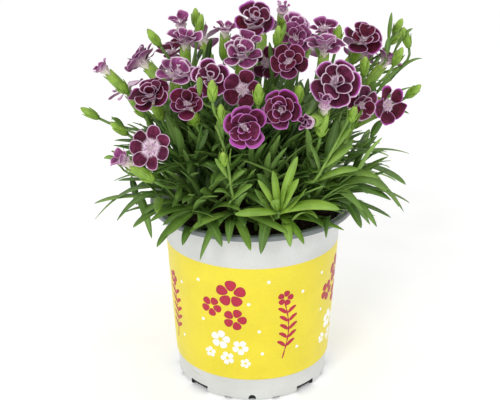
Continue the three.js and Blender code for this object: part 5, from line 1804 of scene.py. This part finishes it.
def pot_kind(row):
    """A row of faces has half a number; the end caps have whole ones."""
    if row > ROW_LIP:
        return POT_KIND.grey
    on_band = ROW_BAND[0] - 0.6 < row < ROW_BAND[1] + 0.1 and row % 1 > 0.1
    return POT_KIND.yellow if on_band else POT_KIND.white


pot_finishes = [plastic_finish("pot_white", "cbccca", "d3d4d2", 0.32),
                plastic_finish("pot_yellow", "e2d026", "e9d832", 0.38),
                plastic_finish("pot_grey", "666b6d", "767c7f", 0.28),
                # The last finish is painted shade: dark grey for the shade inside the drainage recesses.
                plastic_finish("pot_recess_painted_shade", "23282a", "32383a", 0.85)]
pot = turned_piece("nursery_pot", profile, POT.sides, pot_finishes, pot_kind)
for tool in pot_cutters():
    cut = pot.modifiers.new("cut", "BOOLEAN")
    cut.operation, cut.object, cut.solver = "DIFFERENCE", tool, "EXACT"
    bpy.context.view_layer.objects.active = pot
    bpy.ops.object.modifier_apply(modifier=cut.name)
    bpy.data.objects.remove(tool)
# What the cutters opened under the foot gets painted shade: a dark finish that stands in for the shade inside
# the recesses.
outside_radii, outside_heights = zip(*profile[:ROW_BAND[0]])
for face in pot.data.polygons:
    out, height = hypot(face.center.x, face.center.y) / MM, face.center.z / MM
    if height < DRAIN.height + 0.1 and out < np.interp(height, outside_heights, outside_radii) - 0.4:
        face.material_index = POT_KIND.recess
bpy.ops.object.select_all(action="DESELECT")
pot.select_set(True)
bpy.ops.object.shade_smooth_by_angle(angle=radians(CREASE))
settle(pot, "pot", "pot")


# ---------------- printed pattern on the band
PRINT = Sizes(proud=0.07, deep=0.25, sides=20, insets=(0.3, 0.35), measured_at=52)
FLOWER = Sizes(petals=5, reach=0.35, length=0.46, width=0.42, taper=0.28)
SPRIG = Sizes(steps=7, bow=2.6, overlap=1.3, stalk=0.9, leaf_out=2.9, leaf_up=2.0, leaf=(6.4, 2.3),
              leaf_lean=52, leaf_bow=0.4, flower_up=4.2, flower=8.4, flower_turn=12)
# The pattern of a quarter of the band, by place round the wall and height.
SPRIG_PLACE = (19, 31, 33)
CRIMSON_FLOWERS = ((-12, 72, 15, 0), (-24, 62, 11, 30), (-10, 55.5, 12, 20))
WHITE_FLOWERS = ((-19, 41, 10.5, 10), (-7, 37, 8.5, 30), (-15, 29, 7.5, 50), (-26, 31, 6, 0),
                 (-4, 26.5, 5.5, 20))
DOTS = ((-30, 52), (-2, 66), (4, 48), (9, 80), (28, 34), (30, 70), (-32, 77), (6, 33))
DOT = 2.0


DAUB = round_blank(PRINT.sides, PRINT.insets)


def add_daub(piece, around, height, length, width, lean, taper=0.0, bow=0.0):
    """A drop of print: its middle round the wall and up it, its long way leaning from upright."""
    x, y, z = DAUB["points"].T
    across = x * width / 2 * (1 + taper * y)
    up = y * length / 2
    across = across + bow * (y * y - 0.5)
    lean = radians(lean)
    u = around + across * cos(lean) + up * sin(lean)
    v = height - across * sin(lean) + up * cos(lean)
    radius = wall_radius(v) + np.where(is_back_point(z), -PRINT.deep, PRINT.proud)
    turn = u / wall_radius(PRINT.measured_at)
    points = np.stack([np.sin(turn) * radius, -np.cos(turn) * radius, v], 1)
    piece.add(DAUB, points, np.stack([(x + 1) / 2, (y + 1) / 2], 1), 0)


def add_flower(piece, around, height, size, turn):
    """Rounded drops round an open eye."""
    reach = size * FLOWER.reach
    for i in range(FLOWER.petals):
        lean = turn + 360 / FLOWER.petals * i
        add_daub(piece, around + sin(radians(lean)) * reach,
                 height + cos(radians(lean)) * reach, size * FLOWER.length,
                 size * FLOWER.width, lean, FLOWER.taper)


def add_sprig(piece, around, height, long):
    """A bowed stem with pairs of leaves and a small flower at its end."""
    steps = SPRIG.steps
    for i in range(steps):
        t = i / (steps - 1)
        at = around + SPRIG.bow * sin(t * pi)
        slope = SPRIG.bow * pi * cos(t * pi) / long
        up = height + long * t
        add_daub(piece, at, up, long / steps * SPRIG.overlap, SPRIG.stalk,
                 degrees(atan(slope)))
        if 0 < i < steps - 1:
            for way in (-1, 1):
                add_daub(piece, at + way * SPRIG.leaf_out, up + SPRIG.leaf_up, *SPRIG.leaf,
                         way * SPRIG.leaf_lean, 0, way * SPRIG.leaf_bow)
    add_flower(piece, around, height + long + SPRIG.flower_up, SPRIG.flower, SPRIG.flower_turn)


crimson = Piece("crimson_print", ("seed",))
white = Piece("white_print", ("seed",))
for quarter in range(4):
    middle = wall_radius(PRINT.measured_at) * pi / 2 * quarter
    around, height, long = SPRIG_PLACE
    add_sprig(crimson, middle + around, height, long)
    for piece, flowers in ((crimson, CRIMSON_FLOWERS), (white, WHITE_FLOWERS)):
        for around, height, size, turn in flowers:
            add_flower(piece, middle + around, height, size, turn)
    for around, height in DOTS:
        add_daub(white, middle + around, height, DOT, DOT, 0)
for piece, low, high in ((crimson, "ac0f34", "b8183c"), (white, "f4f3ee", "ffffff")):
    settle(piece.finish([plastic_finish(piece.name, low, high, 0.4)]), "pot")

# ---------------- soil
SOIL_SHAPE = Sizes(sides=120, rings=26, crumbs=520, fibres=150, clear=2.1, grain=0.45, base_step=0.6)
CRUMB_SHAPE = Sizes(within=0.97, size=(0.4, 1.4), squash=(0.6, 1), jitter=0.15, up=0.2)
FIBRE = Sizes(within=0.93, length=(3, 8), points=4, up=(0.3, 0.8), bow=0.3, radius=(0.15, 0.35), sides=5)


def soil_height(x, y, fade):
    bump = np.sin(x * 0.31 + 1.2) * np.cos(y * 0.27 - 0.6) + 0.5 * np.sin((x + y) * 0.53)
    return SOIL.level + (SOIL.mound + bump * SOIL.relief) * fade


def soil_fade(out):
    """The mound sinks to the level of the soil at the wall."""
    return np.minimum(1, 2 * (1 - out / soil_top))


def soil_place(within):
    """A random place on the soil."""
    out, turn = soil_top * within * sqrt(rng.random()), rng.uniform(0, FULL_TURN)
    return out, out * cos(turn), out * sin(turn)


soil_top = wall_radius(SOIL.level) - SOIL_SHAPE.clear
soil_low = wall_radius(POT.inner_foot) - POT.band_proud - SOIL_SHAPE.clear
base = [(POT.foot_radius - 2, POT.floor + GAP), (soil_low, POT.inner_foot + 1),
        (soil_top, SOIL.level - SOIL_SHAPE.base_step)]
tops = [(soil_top * (1 - i / SOIL_SHAPE.rings), SOIL.level) for i in range(SOIL_SHAPE.rings)]
soil = Piece("potting_soil", ("seed",))
shape = tube(SOIL_SHAPE.sides, len(base) + len(tops) - 1)
x, y, z = shape["points"].T
ring = np.rint(z).astype(int)
rows = np.array(base + tops)
rng = np.random.default_rng(SOIL_SEED)
points = np.stack([x * rows[ring, 0], y * rows[ring, 0], rows[ring, 1]], 1)
relief = soil_height(points[:, 0], points[:, 1], soil_fade(np.hypot(points[:, 0], points[:, 1])))
relief = relief + rng.uniform(-SOIL_SHAPE.grain, SOIL_SHAPE.grain, len(points))
points[:, 2] = np.where(ring >= len(base), relief, points[:, 2])
soil.add(shape, points, points[:, :2] / 100, 0)

CRUMB = shape_of(fresh(bpy.ops.mesh.primitive_ico_sphere_add, subdivisions=1, radius=1))
for _ in range(SOIL_SHAPE.crumbs):
    out, x, y = soil_place(CRUMB_SHAPE.within)
    height = soil_height(x, y, soil_fade(out)) + CRUMB_SHAPE.up
    size = rng.uniform(*CRUMB_SHAPE.size) * rng.uniform(*CRUMB_SHAPE.squash, 3)
    jitter = rng.uniform(-CRUMB_SHAPE.jitter, CRUMB_SHAPE.jitter, CRUMB["points"].shape)
    soil.add(CRUMB, CRUMB["points"] * size + jitter + (x, y, height), CRUMB["points"][:, :2], 0)
for _ in range(SOIL_SHAPE.fibres):
    _, x, y = soil_place(FIBRE.within)
    way, long = rng.uniform(0, pi), rng.uniform(*FIBRE.length)
    t = np.linspace(-0.5, 0.5, FIBRE.points)
    xs, ys = x + cos(way) * long * t, y + sin(way) * long * t
    keep = np.minimum(1, (soil_top * CRUMB_SHAPE.within) / np.maximum(1e-6, np.hypot(xs, ys)))
    xs, ys = xs * keep, ys * keep
    zs = soil_height(xs, ys, soil_fade(np.hypot(xs, ys))) + rng.uniform(*FIBRE.up)
    zs = zs + FIBRE.bow * np.cos(t * 6)
    add_tube(soil, np.stack([xs, ys, zs], 1), np.full(FIBRE.points, rng.uniform(*FIBRE.radius)),
             FIBRE.sides, 0)
settle(soil.finish([soil_finish()]), "soil", "soil")


# ---------------- floor, light and camera
LIGHTS = dict(key=dict(place=(-0.6, -1.3, 1.0), size=0.7, power=8),
              fill=dict(place=(0.9, -1.1, 0.6), size=0.9, power=2.5))
AIM = (0, 0, 0.14)
FLOOR = Sizes(size=4, glow=0.1)
WORLD_STRENGTH = 0.88
CAMERA = Sizes(place=(0, -0.6096, 0.3576), pitch=22.16, yaw=-0.13, lens=80.49, sensor=36, clip=(0.01, 20))


def add_floor():
    """A plain white floor, not attached to any body."""
    blank = fresh(bpy.ops.mesh.primitive_plane_add, size=FLOOR.size)
    bpy.ops.object.mode_set(mode="OBJECT")
    blank.name = "floor"
    f = Finish("floor_white", 0.9, 0.1)
    f.colour(f.use(MOTTLING, Colour="ffffff", Shade="fcfcfc", Amount=1.0, Scale=30.0, Detail=2.0)["Colour"])
    f.shader.inputs["Emission Strength"].default_value = FLOOR.glow
    blank.data.materials.append(f.material)


def area_light(name, place, size, power):
    """A round soft light that looks at the plant."""
    light = bpy.data.lights.new(name, "AREA")
    light.shape, light.size, light.energy = "DISK", size, power
    obj = bpy.data.objects.new(name, light)
    obj.location = place
    obj.rotation_euler = (Vector(AIM) - Vector(place)).to_track_quat("-Z", "Y").to_euler()
    bpy.context.scene.collection.objects.link(obj)


add_floor()
for name, light in LIGHTS.items():
    area_light(name, **light)
world = bpy.data.worlds.new("studio")
world.use_nodes = True
background = world.node_tree.nodes["Background"]
background.inputs["Color"].default_value = (1, 1, 1, 1)
background.inputs["Strength"].default_value = WORLD_STRENGTH
scene = bpy.context.scene
scene.world = world
scene.view_settings.view_transform = "Standard"

camera = bpy.data.objects.new("camera", bpy.data.cameras.new("camera"))
camera.data.lens = CAMERA.lens
camera.data.sensor_width = CAMERA.sensor
camera.data.clip_start, camera.data.clip_end = CAMERA.clip
camera.location = CAMERA.place
camera.rotation_euler = Euler((radians(90 - CAMERA.pitch), 0, radians(-CAMERA.yaw)))
scene.collection.objects.link(camera)
scene.camera = camera
